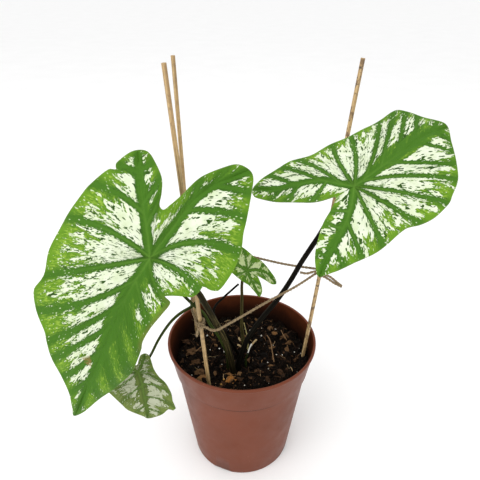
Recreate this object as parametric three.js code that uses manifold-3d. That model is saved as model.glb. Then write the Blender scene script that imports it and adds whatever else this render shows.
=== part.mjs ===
// A white christmas caladium in its nursery pot: four leaves and three leafless stalks on one tuber in
// peat soil, in a terracotta plastic pot, with three bamboo stakes and one ring of jute twine.
// Millimetres, +Z up. The origin is the centre of the pot's flat underside, and -Y is the side that
// the big leaves face. Named values come first, then one function for each kind of piece.
import * as THREE from "three";
import { mergeVertices } from "three/addons/utils/BufferGeometryUtils.js";
import Module from "manifold-3d";

const wasm = await Module();
wasm.setup();

// Driving dimensions of the pot and the soil
const POT = { rim: 60, foot: 41.2, height: 114, wall: 1.4, floor: 1.6, band: 25.7, step: 1, lip: 2.4 };
const SOIL = { level: 97.5, gap: 0.3, hole: 0.3 };
const NOTCH = { width: 16, depth: 8, height: 2.2, first: -23, count: 4 };
const TUBER = { at: [-3, -12, 76], across: 15, high: 10 };

// Driving dimensions of the stakes and the twine
const STAKE = { radius: 1.5, point: 7 };
const TWINE = { radius: 1, clear: 0.35 };

// Each stake runs from its buried point through the soil's surface to its cut top.
const STAKES = {
  stake_front_left: [[-20.3, -37.2, 35], [-25, -37.5, 98], [-42.5, -37.5, 333]],
  stake_back_left: [[-35.2, 22.6, 30], [-39, 25.4, 97], [-45.4, 25.5, 327.5]],
  stake_right: [[41.2, -11, 36.5], [50.2, -5, 99], [78.5, 22, 326.5]],
};

// A blade lies over a plane through its seat, the point where the petiole joins it. Points on it are
// [across, along]: along points from the seat to the tip, across to the right with the tip downward.
// Three ribs leave the seat, the midrib and one rib for each back lobe. A side row is [share of the
// rib, across, along, vein]: a side vein leaves the rib at that share and meets the margin there.
// Between two sides lies a fan of veins that all leave the seat, with rows of [across, along, vein].
const LEAF_LEFT = {
  seat: [-54.5, -65.9, 227.6], normal: [-0.05, -0.984, 0.17], along: [-0.446, -0.13, -0.885],
  camber: [0.0016, 0.0007, 0.0014], fold: 0.05, quilt: 1, wave: 1.2,
  ribs: {
    mid: [[0, 0], [-3, 30], [-2, 75], [-1, 141]],
    right: [[0, 0], [4, -22], [8, -42], [15, -56], [29, -72]],
    left: [[0, 0], [-8, -14], [-17, -28], [-26, -43], [-32, -54]],
  },
  midRight: [[0, 22.6, 21.8, 1], [0.1, 21, 31], [0.2, 18.5, 45, 1], [0.3, 18, 56], [0.35, 19.5, 64, 1],
    [0.5, 20.5, 88, 1], [0.65, 16, 102, 1], [0.8, 9.5, 117, 1]],
  rightFan: [[17.5, 19], [29, 14.2], [33, 12], [35, 7, 1], [36, 2.5], [41.5, 3], [46, 0.5], [47.5, -13]],
  rightOuter: [[0, 46.6, -26, 1], [0.25, 42.5, -38], [0.45, 40.5, -46, 1], [0.75, 36, -61, 1], [0.9, 33, -69]],
  rightInner: [[0, -2.5, -35], [0.2, 0.6, -42], [0.5, 6.4, -57, 1], [0.7, 16.5, -68, 1], [0.85, 22.5, -72]],
  sinus: [[-4.9, -30.5]],
  leftInner: [[0, -8, -32], [0.3, -9.8, -39, 1], [0.5, -13.4, -46.5, 1], [0.75, -21.4, -53, 1], [0.9, -27, -55.5]],
  leftOuter: [[0, -54.5, 1, 1], [0.2, -51, -16.5], [0.4, -48.5, -24.5, 1], [0.65, -43, -36],
    [0.7, -38.6, -38.5], [0.75, -40, -41.5, 1], [0.9, -36, -50]],
  leftFan: [[-57, 25]],
  midLeft: [[0, -54.6, 44, 1], [0.1, -57, 57], [0.2, -51.5, 70, 1], [0.3, -41.5, 81], [0.35, -38, 87, 1],
    [0.5, -30.5, 100, 1], [0.65, -20, 111.5, 1], [0.8, -10.5, 122.5, 1], [0.9, -5, 134]],
};
const LEAF_RIGHT = {
  seat: [70.4, -27.1, 257], normal: [-0.24, -0.501, 0.831], along: [0.842, 0.319, 0.436],
  camber: [0.0022, 0.001, 0.0016], fold: 0, quilt: 1, wave: 1.2,
  ribs: {
    mid: [[0, 0], [1, 14], [3, 36], [6, 60], [3.5, 76]],
    right: [[0, 0], [8, -6], [17, -12], [25, -24], [33, -38], [47, -50.5]],
    left: [[0, 0], [-9, -8], [-17, -18], [-23, -28], [-28, -39], [-36, -52]],
  },
  midRight: [[0, 37.6, 24.3, 1], [0.1, 36.4, 39.5], [0.15, 37, 47, 1], [0.35, 37.3, 60.5, 1], [0.5, 31.5, 65.5, 1],
    [0.65, 24.5, 69.8, 1], [0.85, 12.5, 74, 1]],
  rightFan: [[39.1, 10.3, 1]],
  rightOuter: [[0, 41.5, -3], [0.15, 45.5, -14, 1], [0.25, 47.4, -19], [0.4, 48.6, -26, 1], [0.65, 49, -36, 1],
    [0.85, 48.8, -44]],
  rightInner: [[0, 1.6, -15], [0.35, 7.7, -27, 1], [0.6, 19.7, -39.4, 1], [0.75, 28.3, -46.5, 1], [0.95, 40, -53]],
  sinus: [[0, -14]],
  leftInner: [[0, -1.6, -15.5], [0.3, -5.2, -21.8, 1], [0.5, -9.5, -30, 1], [0.65, -16.6, -39], [0.8, -23.4, -46.1, 1],
    [0.95, -31, -50.8]],
  leftOuter: [[0, -43.3, -11, 1], [0.25, -43.4, -18.4], [0.4, -42.4, -25, 1], [0.6, -41, -31], [0.7, -40, -37, 1],
    [0.85, -39, -43]],
  leftFan: [[-42, 4], [-42.6, 9], [-44.3, 15, 1], [-45.2, 25.3], [-42.6, 37, 1]],
  midLeft: [[0, -39, 43], [0.1, -33, 52.3, 1], [0.4, -23.5, 59.5, 1], [0.65, -14.5, 65.3, 1], [0.85, -8, 69.2, 1]],
};
const LEAF_MIDDLE = {
  seat: [4.1, -3.2, 179.3], normal: [0.1, -0.75, 0.65], along: [-0.86, 0.17, 0.45],
  camber: [0.006, 0.003, 0.004], fold: 0, quilt: 0.5, wave: 0.5,
  ribs: {
    mid: [[0, 0], [-0.5, 9], [-2, 19], [-3, 27]],
    right: [[0, 0], [4, -4.5], [8, -10], [12.8, -16.8]],
    left: [[0, 0], [-4, -6], [-5.5, -14], [-2, -23.8]],
  },
  midRight: [[0, 7.6, 6, 1], [0.3, 6, 12, 1], [0.65, 3.2, 18.5, 1]],
  rightFan: [[8.3, 2.5]],
  rightOuter: [[0, 8.9, -1.5, 1], [0.4, 9.2, -6, 1], [0.75, 11, -11.5]],
  rightInner: [[0, 1.2, -10.2], [0.45, 4.6, -14.2, 1], [0.8, 8.6, -17]],
  sinus: [[0.2, -8.6]],
  leftInner: [[0, -0.2, -9.8], [0.45, -0.2, -15.5, 1], [0.85, 0, -20.8]],
  leftOuter: [[0, -11.9, -0.5, 1], [0.3, -12, -4.5], [0.45, -11, -8.8, 1], [0.7, -8.4, -14.8, 1], [0.9, -5.4, -21]],
  leftFan: [[-13.2, 5]],
  midLeft: [[0, -14.2, 10, 1], [0.3, -14.2, 15, 1], [0.6, -11, 20.8, 1], [0.85, -6.5, 25]],
};
const LEAF_LOW = {
  seat: [-77.2, -40.2, 113.9], normal: [-0.1, -0.9, 0.42], along: [0.199, -0.432, -0.879],
  camber: [0.004, 0.001, 0.003], fold: 0, quilt: 0.8, wave: 0.6,
  ribs: {
    mid: [[0, 0], [0.9, 9.6], [0.5, 19.6], [0.7, 27.5], [-0.7, 36.4]],
    right: [[0, 0], [3, -4], [6, -8.5], [8, -12.5]],
    left: [[0, 0], [-6, -4], [-12, -7], [-17.5, -9.8]],
  },
  midRight: [[0, 18.2, 12.4, 1], [0.25, 20.7, 21, 1], [0.42, 20.6, 27], [0.5, 21.6, 32.6, 1], [0.55, 18.9, 33.8],
    [0.62, 16.4, 32], [0.8, 10.5, 35.3, 1], [0.92, 4.8, 36.3]],
  rightFan: [[14.5, 6.5]],
  rightOuter: [[0, 12.2, 0.4, 1], [0.45, 11.5, -5, 1], [0.8, 10.6, -10]],
  rightInner: [[0, 1.2, -6.2], [0.45, 2.7, -9.2, 1], [0.85, 4.6, -12]],
  sinus: [[0, -5.2]],
  leftInner: [[0, -1.5, -5.5], [0.45, -6.5, -8.3, 1], [0.85, -12.5, -10.3]],
  leftOuter: [[0, -27, 0, 1], [0.5, -25.5, -5, 1], [0.85, -21.5, -8.8]],
  leftFan: [[-28.3, 5]],
  midLeft: [[0, -27.2, 11.5, 1], [0.2, -23.6, 16.4], [0.3, -18.6, 22.8, 1], [0.55, -15, 27.4], [0.7, -9.4, 30.8, 1],
    [0.9, -3.6, 34.2]],
};
const BLADE = { thickness: 0.8, foldWidth: 16, foldEdge: 44, foldTaper: 0.22, foldStart: 40 };

// The stems of the plant: points along each one from the tuber up, and its radius at foot and top.
// One that bears a leaf ends square against the blade's underside, where the point `under` it lies.
const under = ({ seat, normal }, depth) => seat.map((value, k) => value - depth * normal[k]);
const STEMS = {
  petiole_big_left: {
    radii: [2.5, 2],
    path: [[-6.5, -19.5, 85.8], [-7, -22.5, 97], [-9.3, -27.5, 120], [-11.9, -32, 135.5], [-15.1, -37, 149],
      [-17.4, -41, 158.3], [-23.4, -46, 176.7], [-29.4, -50, 193.2], [-38, -54.5, 206], [-47.5, -58, 217.5],
      under(LEAF_LEFT, 5.5), under(LEAF_LEFT, 0.9)],
  },
  petiole_right: {
    radii: [2.2, 1.8],
    path: [[-1.5, -17.5, 86.3], [-2.8, -19, 100], [0.4, -17.2, 112.5], [4.8, -14.6, 124.7], [10.5, -12.4, 134],
      [16.5, -10.5, 142.3], [27.9, -7.6, 157.7], [35.9, -6.6, 172], [43, -8.5, 189.6], [48.1, -14, 204.6],
      [52.6, -20, 218.5], [57.5, -24.4, 233], [65, -25, 246], under(LEAF_RIGHT, 5), under(LEAF_RIGHT, 0.9)],
  },
  petiole_middle: {
    radii: [1.8, 1.1],
    path: [[0.5, -5, 85.4], [2, 1.5, 96], [1.3, 4, 107], [0, 2.5, 122.4], [0.1, 1, 149.7], [0.1, 1, 165.5],
      [1.2, 1.6, 171.2], under(LEAF_MIDDLE, 4), under(LEAF_MIDDLE, 0.8)],
  },
  petiole_low_left: {
    radii: [1.5, 1],
    path: [[-9.5, -11, 86], [-10.2, -14, 100], [-10.7, -18.5, 118], [-15.1, -22, 134.8], [-20.1, -24.5, 146.8],
      [-24.9, -25, 158.5], [-28.4, -27, 167], [-30.7, -28, 169.5], [-33, -29.5, 168.8], [-36.4, -31.2, 166.5],
      [-43.2, -32.3, 162.5], [-50.5, -32.6, 155.4], [-60.8, -31.5, 138.6], [-69, -30.2, 121.1],
      [-74, -32, 113.8],
      under(LEAF_LOW, 4), under(LEAF_LOW, 0.8)],
  },
  stalk_left: {
    radii: [1.5, 1.1],
    path: [[-10.8, -15.5, 85.6], [-10.9, -17, 98], [-11, -20, 112], [-14.3, -25, 127.5], [-18.4, -30, 141.8],
      [-22.3, -33, 151.5], [-28, -33.8, 164.2], [-33.6, -33.8, 169.8], [-38.9, -34, 176.5], [-45.9, -35, 186.6]],
  },
  stalk_back: {
    radii: [1.4, 0.8],
    path: [[-4.2, -8.5, 86.8], [-2.2, -5, 97.6], [-5.6, -7, 108.2], [-9.4, -10, 118.9], [-15.3, -15, 134.9],
      [-20.4, -19.4, 149], [-21, -18.5, 154.3], [-19.4, -15, 156.4], [-14, -9, 159], [-8.3, -4, 161.9],
      [-2.5, 0, 165.3]],
  },
};

// Short sheaths that stand at the foot of the stems, a pale one and a green one.
const SHEATHS = {
  sheath_pale: { radii: [1.3, 0.35], path: [[6, -2.5, 86], [5, 3.2, 101], [4.6, 4.8, 109], [1.8, 5.6, 123.8]] },
  sheath_green: { radii: [1.9, 0.7], path: [[3.2, -13.5, 86.5], [3.3, -13.5, 98], [3.4, -12.6, 102], [4.6, -12, 105.7]] },
};

// Finishes
const finish = (color, roughness) => new THREE.MeshStandardMaterial({ color, roughness, metalness: 0 });
const TERRACOTTA = finish(0x8a5140, 0.45);
const PEAT = finish(0x1b1410, 0.95);
const CORM = finish(0x5b3a22, 0.85);
const DARK_STEM = finish(0x2a2a17, 0.5);
const GREEN_STEM = finish(0x55662b, 0.5);
const PALE_SHEATH = finish(0xd9cf8c, 0.6);
const BAMBOO = finish(0xc7a878, 0.6);
const JUTE = finish(0xb79f78, 0.9);
const LEAF_GREEN = finish(0x5f9638, 0.5);
const LEAF_PALE = finish(0x8f9e6c, 0.6);

const group = new THREE.Group();
const vector = (point) => new THREE.Vector3(...point);

// Adds one named piece of the plant to the group.
function add(name, geometry, material) {
  const mesh = new THREE.Mesh(geometry, material);
  mesh.name = name;
  group.add(mesh);
  return mesh;
}

// A geometry with its shared corners merged, so that only positions and whole triangles are left.
function welded(geometry) {
  geometry.deleteAttribute("normal");
  geometry.deleteAttribute("uv");
  const merged = mergeVertices(geometry, 1e-4);
  const whole = [];
  for (let i = 0; i < merged.index.count; i += 3) {
    const corners = [0, 1, 2].map((k) => merged.index.getX(i + k));
    if (new Set(corners).size === 3) whole.push(...corners);
  }
  merged.setIndex(whole);
  return merged;
}

// A closed geometry as a solid for joining and cutting, and a solid back as a geometry.
function solid(geometry) {
  const merged = welded(geometry);
  return new wasm.Manifold(
    new wasm.Mesh({
      numProp: 3,
      vertProperties: merged.attributes.position.array,
      triVerts: new Uint32Array(merged.index.array),
    }),
  );
}
function geometryOf(body) {
  const mesh = body.getMesh();
  return new THREE.BufferGeometry()
    .setAttribute("position", new THREE.BufferAttribute(mesh.vertProperties, 3))
    .setIndex(new THREE.BufferAttribute(mesh.triVerts, 1));
}

// A round bar bent along a smooth curve: radiusAt gives its radius at each share of the length.
function bar(path, radiusAt, sides, steps) {
  const curve = new THREE.CatmullRomCurve3(path.map(vector));
  const frames = curve.computeFrenetFrames(steps, false);
  const geometry = new THREE.CylinderGeometry(1, 1, 1, sides, steps);
  const place = geometry.attributes.position;
  for (let i = 0; i < place.count; i++) {
    const step = Math.round((place.getY(i) + 0.5) * steps);
    const radius = radiusAt(step / steps);
    const point = curve
      .getPointAt(step / steps)
      .addScaledVector(frames.normals[step], place.getX(i) * radius)
      .addScaledVector(frames.binormals[step], -place.getZ(i) * radius);
    place.setXYZ(i, point.x, point.y, point.z);
  }
  return geometry;
}

// A stem tapers from its sheathed foot to its top.
function stemRadius([foot, top]) {
  return (share) => top + (foot - top) * (1 - share) ** 1.6;
}

// The point on a chain of points at a share of its control points, as a smooth curve.
function along(points, share, closed = false) {
  const curve = new THREE.CatmullRomCurve3(points.map(([x, y]) => new THREE.Vector3(x, y, 0)), closed, "catmullrom");
  return curve.getPoint(share);
}

// The columns of a blade: each joins a point on a rib to a point on the margin, once round the leaf.
function bladeColumns(leaf, stations, fanSteps) {
  const margin = [];
  const sides = [];
  const walk = (rows, rib, rising) => {
    const order = rising ? rows : [...rows].reverse();
    sides.push({ rib, rising, rows: order.map(([share, , , vein]) => [share, margin.length, vein]) });
    order.forEach(([share, x, y, vein], i) => {
      sides.at(-1).rows[i] = [share, margin.length];
      margin.push({ x, y, vein: Boolean(vein) });
    });
  };
  const fan = (rows) => {
    sides.push({ from: margin.length - 1, to: margin.length + rows.length });
    rows.forEach(([x, y, vein]) => margin.push({ x, y, vein: Boolean(vein) }));
  };
  const ribEnd = (rib) => {
    const [x, y] = leaf.ribs[rib].at(-1);
    margin.push({ x, y, vein: true });
  };
  ribEnd("mid");
  walk(leaf.midRight, "mid", false);
  fan(leaf.rightFan);
  walk(leaf.rightOuter, "right", true);
  ribEnd("right");
  walk(leaf.rightInner, "right", false);
  fan(leaf.sinus);
  walk(leaf.leftInner, "left", true);
  ribEnd("left");
  walk(leaf.leftOuter, "left", false);
  fan(leaf.leftFan);
  walk(leaf.midLeft, "mid", true);

  const columns = [];
  for (const side of sides) {
    if (side.rib) {
      // A rib's stations are the same on both of its sides, so that the halves meet along it.
      const end = side.rising ? side.rows.at(-1)[1] + 1 : side.rows[0][1] - 1;
      const rows = side.rising ? [...side.rows, [1, end]] : [[1, end], ...side.rows];
      for (let k = 0; k < stations; k++) {
        const share = side.rising ? k / stations : (stations - 1 - k) / stations;
        const i = rows.findIndex((row, n) => n + 1 < rows.length &&
          (row[0] - share) * (rows[n + 1][0] - share) <= 0);
        const part = (share - rows[i][0]) / (rows[i + 1][0] - rows[i][0]);
        columns.push({ rib: side.rib, share, at: rows[i][1] + part });
      }
      if (side.rising) columns.push({ rib: side.rib, share: 1, at: end });
    } else {
      for (let i = side.from; i < side.to; i++) {
        for (let k = 0; k < fanSteps; k++) {
          if (i > side.from || k > 0) columns.push({ rib: "mid", share: 0, at: i + k / fanSteps });
        }
      }
    }
  }
  const veins = margin.flatMap(({ vein }, i) => (vein ? [i] : []));
  return columns.map(({ rib, share, at }) => {
    const before = Math.max(...veins.filter((v) => v <= at + 1e-6), 0);
    const after = Math.min(...veins.filter((v) => v > at + 1e-6), margin.length);
    const edge = along(margin.map(({ x, y }) => [x, y]), at / margin.length, true);
    return { rib: along(leaf.ribs[rib], share), edge, between: (at - before) / (after - before) };
  });
}

// How far the blade stands off its plane: camber both ways, and the turned-back right edge.
function bladeHeight(leaf, x, y) {
  const [across, tipward, backward] = leaf.camber;
  const edge = BLADE.foldEdge - BLADE.foldTaper * y - BLADE.foldWidth;
  const start = THREE.MathUtils.smoothstep(y, 0, BLADE.foldStart);
  const fold = leaf.fold * start * Math.max(0, x - edge) ** 2;
  return -across * x * x - (y > 0 ? tipward : backward) * y * y - fold;
}

// A blade: a thin waved sheet, split into triangles alike on both faces, closed round its margin.
function blade(leaf, stations, fanSteps, rows) {
  const columns = bladeColumns(leaf, stations, fanSteps);
  const seat = vector(leaf.seat);
  const normal = vector(leaf.normal).normalize();
  const tip = vector(leaf.along);
  tip.addScaledVector(normal, -tip.dot(normal)).normalize();
  const side = normal.clone().cross(tip);
  const step = 0.5;
  const sheet = new THREE.PlaneGeometry(1, 1, columns.length, 2 * rows + 1);
  const place = sheet.attributes.position;
  const across = columns.length + 1;
  for (let i = 0; i < place.count; i++) {
    const column = columns[(i % across) % columns.length];
    const line = Math.floor(i / across);
    const face = line <= rows ? 1 : -1;
    const out = (face > 0 ? line : 2 * rows + 1 - line) / rows;
    const x = THREE.MathUtils.lerp(column.rib.x, column.edge.x, out);
    const y = THREE.MathUtils.lerp(column.rib.y, column.edge.y, out);
    const swell = leaf.quilt * Math.sin(Math.PI * column.between) ** 2 * 4 * out * (1 - out);
    const wave = leaf.wave * out ** 3 * Math.sin(0.16 * (x - y)) * Math.cos(0.07 * (x + y));
    const slopeX = (bladeHeight(leaf, x + step, y) - bladeHeight(leaf, x - step, y)) / (2 * step);
    const slopeY = (bladeHeight(leaf, x, y + step) - bladeHeight(leaf, x, y - step)) / (2 * step);
    const facing = normal.clone().addScaledVector(side, -slopeX).addScaledVector(tip, -slopeY).normalize();
    const point = seat.clone().addScaledVector(side, x).addScaledVector(tip, y)
      .addScaledVector(normal, bladeHeight(leaf, x, y) + swell + wave)
      .addScaledVector(facing, (face * BLADE.thickness) / 2);
    place.setXYZ(i, point.x, point.y, point.z);
  }
  return welded(sheet);
}

// The pot: an open cup whose wall steps out to a wide band under a small lip, with drainage notches.
function pot() {
  const { rim, foot, height, wall, floor, band, step, lip } = POT;
  const bandFoot = height - band;
  const waist = 53.6;
  const outside = [[0, 0], [foot - 1.2, 0], [foot, 1.2], [waist, bandFoot], [waist + step, bandFoot],
    [rim - step, height - lip], [rim - 0.3, height - lip], [rim, height - lip + 0.6], [rim, height - 0.7],
    [rim - 0.5, height]];
  const inside = [[rim - 1.6, height], [rim - 2.2, height - 1], [waist + step - wall, bandFoot + 2],
    [waist - wall, bandFoot - 2], [foot - wall + 0.3, floor + 1.5], [foot - wall - 1.2, floor], [0, floor]];
  const profile = [...outside, ...inside].map(([x, y]) => new THREE.Vector2(x, y));
  const turned = new THREE.LatheGeometry(profile, 48);
  turned.rotateX(Math.PI / 2);
  let body = solid(turned);
  for (let i = 0; i < NOTCH.count; i++) {
    const turn = THREE.MathUtils.degToRad(NOTCH.first - 90 + (i * 360) / NOTCH.count);
    const cut = new THREE.CylinderGeometry(NOTCH.height, NOTCH.height, NOTCH.depth, 16);
    cut.rotateZ(Math.PI / 2);
    cut.scale(1, NOTCH.width / 2 / NOTCH.height, 1);
    cut.translate(foot, 0, 0);
    cut.rotateZ(turn);
    body = body.subtract(solid(cut));
  }
  return geometryOf(body);
}

// How high the soil lies over a point: a slope to the right, and lumps of bark and peat.
function soilHeight(x, y) {
  const lumps = 1.1 * Math.sin(0.31 * x + 0.6) * Math.cos(0.27 * y) + 0.7 * Math.sin(0.53 * x - 0.47 * y + 1.9);
  return SOIL.level + 0.035 * x - 0.03 * y + lumps;
}

// The soil fills the pot up to its uneven top, with plain holes for all that stands in it.
function soil(standing) {
  const { foot, height, wall, floor, band, step } = POT;
  const waist = 53.6;
  const bottom = floor + SOIL.gap;
  const side = [[foot - wall - 1.6, bottom], [foot - wall, bottom + 1.5], [waist - wall - SOIL.gap, height - band - 2],
    [waist + step - wall - SOIL.gap, height - band + 2]];
  const wallAt = (z) => waist + step - wall + ((z - height + band - 2) * (POT.rim - 2.2 - waist - step + wall)) / 22.7;
  const topRadius = 53;
  const rings = 6;
  const profile = [new THREE.Vector2(0, bottom), ...side.map(([x, y]) => new THREE.Vector2(x, y))];
  for (let i = 0; i <= rings; i++) profile.push(new THREE.Vector2(topRadius * (1 - i / rings), SOIL.level));
  const heap = new THREE.LatheGeometry(profile, 40);
  heap.rotateX(Math.PI / 2);
  const place = heap.attributes.position;
  for (let i = 0; i < place.count; i++) {
    if (place.getZ(i) < SOIL.level - 0.01) continue;
    const height = soilHeight(place.getX(i), place.getY(i));
    const reach = Math.hypot(place.getX(i), place.getY(i)) > topRadius - 0.01 ? wallAt(height) - SOIL.gap : topRadius;
    place.setXYZ(i, (place.getX(i) * reach) / topRadius, (place.getY(i) * reach) / topRadius, height);
  }
  return geometryOf(standing.reduce((body, hole) => body.subtract(hole), solid(heap)));
}

// The tuber: a flattened round corm, a little lumpy.
function tuber(extra = 0) {
  const round = new THREE.SphereGeometry(1, 20, 12);
  round.rotateX(Math.PI / 2);
  const place = round.attributes.position;
  for (let i = 0; i < place.count; i++) {
    const [x, y, z] = [place.getX(i), place.getY(i), place.getZ(i)];
    const across = TUBER.across * (1 + 0.05 * Math.sin(5 * x + 2 * y) * Math.cos(4 * z)) + extra;
    place.setXYZ(i, x * across, y * across, z * (TUBER.high + extra));
  }
  round.translate(...TUBER.at);
  return round;
}

// A stake: a split bamboo rod with a long point below and a square-cut top.
function stake(path, extra = 0) {
  const length = new THREE.CatmullRomCurve3(path.map(vector)).getLength();
  const tipShare = STAKE.point / length;
  return bar(extra ? reachedOn(path, extra * 3) : path, (share) => extra + STAKE.radius * Math.min(1, 0.2 + (0.8 * share) / tipShare), 8, 24);
}

// A path whose buried end is drawn on by a small length, for the hole that it stands in.
function reachedOn([first, second, ...rest], length) {
  const on = vector(first).sub(vector(second)).setLength(length).add(vector(first));
  return [on.toArray(), second, ...rest];
}

// The point on a stake's axis at a height.
function onStake(name, z) {
  const curve = new THREE.CatmullRomCurve3(STAKES[name].map(vector));
  let low = 0;
  let high = 1;
  for (let i = 0; i < 30; i++) {
    const half = (low + high) / 2;
    if (curve.getPoint(half).z < z) low = half;
    else high = half;
  }
  return curve.getPoint(low);
}

// The twine: one string round the three stakes, tied with a knot at the front left and the right.
function twine() {
  const turn = STAKE.radius + TWINE.clear + TWINE.radius;
  const strand = (path) => {
    const length = new THREE.CatmullRomCurve3(path.map(vector)).getLength();
    return solid(bar(path, () => TWINE.radius, 6, Math.max(4, Math.round(length / 7))));
  };
  const ring = (name, z) => {
    const wrap = new THREE.TorusGeometry(turn, TWINE.radius, 6, 12);
    const point = onStake(name, z);
    wrap.lookAt(onStake(name, z + 10).sub(onStake(name, z - 10)));
    wrap.translate(point.x, point.y, point.z);
    return solid(wrap);
  };
  const knot = (x, y, z, tilt) => {
    const core = new THREE.SphereGeometry(1.6, 8, 6);
    core.translate(x, y, z);
    const tie = new THREE.TorusKnotGeometry(1.3, 0.85, 24, 6, 2, 3);
    tie.rotateX(tilt);
    tie.translate(x, y, z);
    return solid(tie).add(solid(core));
  };
  const left = onStake("stake_front_left", 158);
  const back = onStake("stake_back_left", 187);
  const right = onStake("stake_right", 174.6);
  const pieces = [
    ring("stake_front_left", 157.2),
    ring("stake_front_left", 159),
    ring("stake_back_left", 187),
    ring("stake_right", 173.8),
    ring("stake_right", 175.6),
    knot(left.x + 0.4, left.y - turn - 1.5, left.z, 0.4),
    knot(right.x + 0.2, right.y - turn - 1.5, right.z, 0.9),
    strand([[left.x + 1, left.y - turn - 0.8, left.z - 0.3], [-24.5, -42.3, 157], [-21.5, -44.6, 156.8],
      [-17.5, -45.4, 157.4], [-11, -41.6, 158.6], [20, -22.6, 166], [40, -10.6, 170.2],
      [right.x - turn, right.y - 1.6, right.z - 0.6]]),
    strand([[right.x - 1.5, right.y + turn - 0.4, right.z + 0.4], [35, 8.4, 177.6], [5, 15, 181.6],
      [-25, 22.6, 185.6], [back.x + 1.4, back.y + turn, back.z]]),
    strand([[back.x - turn, back.y - 0.6, back.z], [-36.4, -6, 174], [-36.2, -27.5, 163.5],
      [left.x - turn, left.y + 0.4, left.z + 0.8]]),
    strand([[left.x + 0.4, left.y - turn - 0.6, left.z - 0.5], [left.x - 1.8, left.y - turn - 2, left.z - 4],
      [left.x - 2.6, left.y - turn - 1.4, left.z - 9]]),
    strand([[right.x, right.y - turn - 1.2, right.z], [right.x - 5, right.y - turn - 3, right.z + 3.4],
      [right.x - 11, right.y - turn - 2.6, right.z + 1.4], [right.x - 16, right.y - turn - 2, right.z + 2]]),
    strand([[right.x, right.y - turn - 1.2, right.z], [right.x + 6, right.y - turn - 3, right.z - 1],
      [right.x + 11, right.y - turn - 3.4, right.z - 5], [right.x + 16, right.y - turn - 3, right.z - 9.5]]),
  ];
  return geometryOf(pieces.reduce((whole, piece) => whole.add(piece)));
}

const stemBar = ({ path, radii }, extra = 0) => {
  const line = extra ? reachedOn(path, extra) : path;
  return bar(line, (share) => extra + stemRadius(radii)(share), 8, 18);
};
const standing = [
  ...Object.values(STEMS).map((stem) => solid(stemBar(stem, SOIL.hole))),
  ...Object.values(SHEATHS).map((sheath) => solid(stemBar(sheath, SOIL.hole))),
  ...Object.values(STAKES).map((path) => solid(stake(path, SOIL.hole))),
  solid(tuber(SOIL.hole)),
];

add("pot", pot(), TERRACOTTA);
add("soil", soil(standing), PEAT);
add("tuber", geometryOf(solid(tuber())), CORM);
for (const [name, stem] of Object.entries(STEMS)) {
  const green = name === "petiole_low_left" || name === "stalk_left";
  add(name, stemBar(stem), green ? GREEN_STEM : DARK_STEM);
}
for (const [name, sheath] of Object.entries(SHEATHS)) {
  add(name, stemBar(sheath), name === "sheath_pale" ? PALE_SHEATH : GREEN_STEM);
}
for (const [name, path] of Object.entries(STAKES)) add(name, stake(path), BAMBOO);
add("blade_big_left", blade(LEAF_LEFT, 14, 1, 4), LEAF_GREEN);
add("blade_right", blade(LEAF_RIGHT, 14, 1, 4), LEAF_GREEN);
add("blade_middle", blade(LEAF_MIDDLE, 7, 2, 2), LEAF_GREEN);
add("blade_low_left", blade(LEAF_LOW, 8, 2, 3), LEAF_PALE);
add("twine", twine(), JUTE);

export default group;
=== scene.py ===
# A white christmas caladium in its nursery pot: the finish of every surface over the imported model.
# Sizes are in millimetres and turned into metres by MM where a mesh is made.
import math
import random

import bmesh
import bpy
import numpy as np
from mathutils import Matrix, Vector, noise


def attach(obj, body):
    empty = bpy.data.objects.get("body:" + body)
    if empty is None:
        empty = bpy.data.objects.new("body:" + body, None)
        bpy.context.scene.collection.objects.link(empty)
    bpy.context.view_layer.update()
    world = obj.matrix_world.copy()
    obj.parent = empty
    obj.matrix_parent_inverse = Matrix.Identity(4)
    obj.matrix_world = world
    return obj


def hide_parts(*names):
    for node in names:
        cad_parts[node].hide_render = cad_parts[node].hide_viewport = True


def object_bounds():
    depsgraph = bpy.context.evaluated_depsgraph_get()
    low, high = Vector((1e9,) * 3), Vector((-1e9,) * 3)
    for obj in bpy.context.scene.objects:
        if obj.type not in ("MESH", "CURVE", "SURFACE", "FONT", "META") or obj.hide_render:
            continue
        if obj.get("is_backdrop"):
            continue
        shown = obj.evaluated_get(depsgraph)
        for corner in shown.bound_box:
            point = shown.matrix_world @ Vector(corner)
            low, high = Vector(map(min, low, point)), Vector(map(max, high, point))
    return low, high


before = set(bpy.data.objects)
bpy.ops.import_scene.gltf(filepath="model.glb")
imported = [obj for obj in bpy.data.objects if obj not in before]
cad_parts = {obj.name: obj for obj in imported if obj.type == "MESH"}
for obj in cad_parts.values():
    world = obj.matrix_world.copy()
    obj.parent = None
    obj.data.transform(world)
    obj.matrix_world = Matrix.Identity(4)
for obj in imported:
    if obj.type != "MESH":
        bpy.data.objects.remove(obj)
model_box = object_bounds()
MM = 0.001

# Camera and studio
# The pot stands on a pale table and is seen from above its rim, in soft light from a wide window side
# and a large lamp overhead, as for a shop's plant picture.
CAMERA = dict(lens=37.5, place=(-1.44, -319.7, 378.4), down=28.65)
camera_data = bpy.data.cameras.new("camera")
camera_data.sensor_width = 36
camera_data.lens = CAMERA["lens"]
camera_data.clip_start = 0.01
camera = bpy.data.objects.new("camera", camera_data)
camera.location = [value * MM for value in CAMERA["place"]]
camera.rotation_euler = (math.radians(90 - CAMERA["down"]), 0, 0)
bpy.context.scene.collection.objects.link(camera)
bpy.context.scene.camera = camera
bpy.context.scene.view_settings.view_transform = "Standard"


def linear(red, green, blue):
    """A colour given as 0 to 255 on a screen, as the linear colour that a shader takes."""
    parts = [value / 255 for value in (red, green, blue)]
    return (*[part / 12.92 if part < 0.04045 else ((part + 0.055) / 1.055) ** 2.4 for part in parts], 1)


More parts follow.
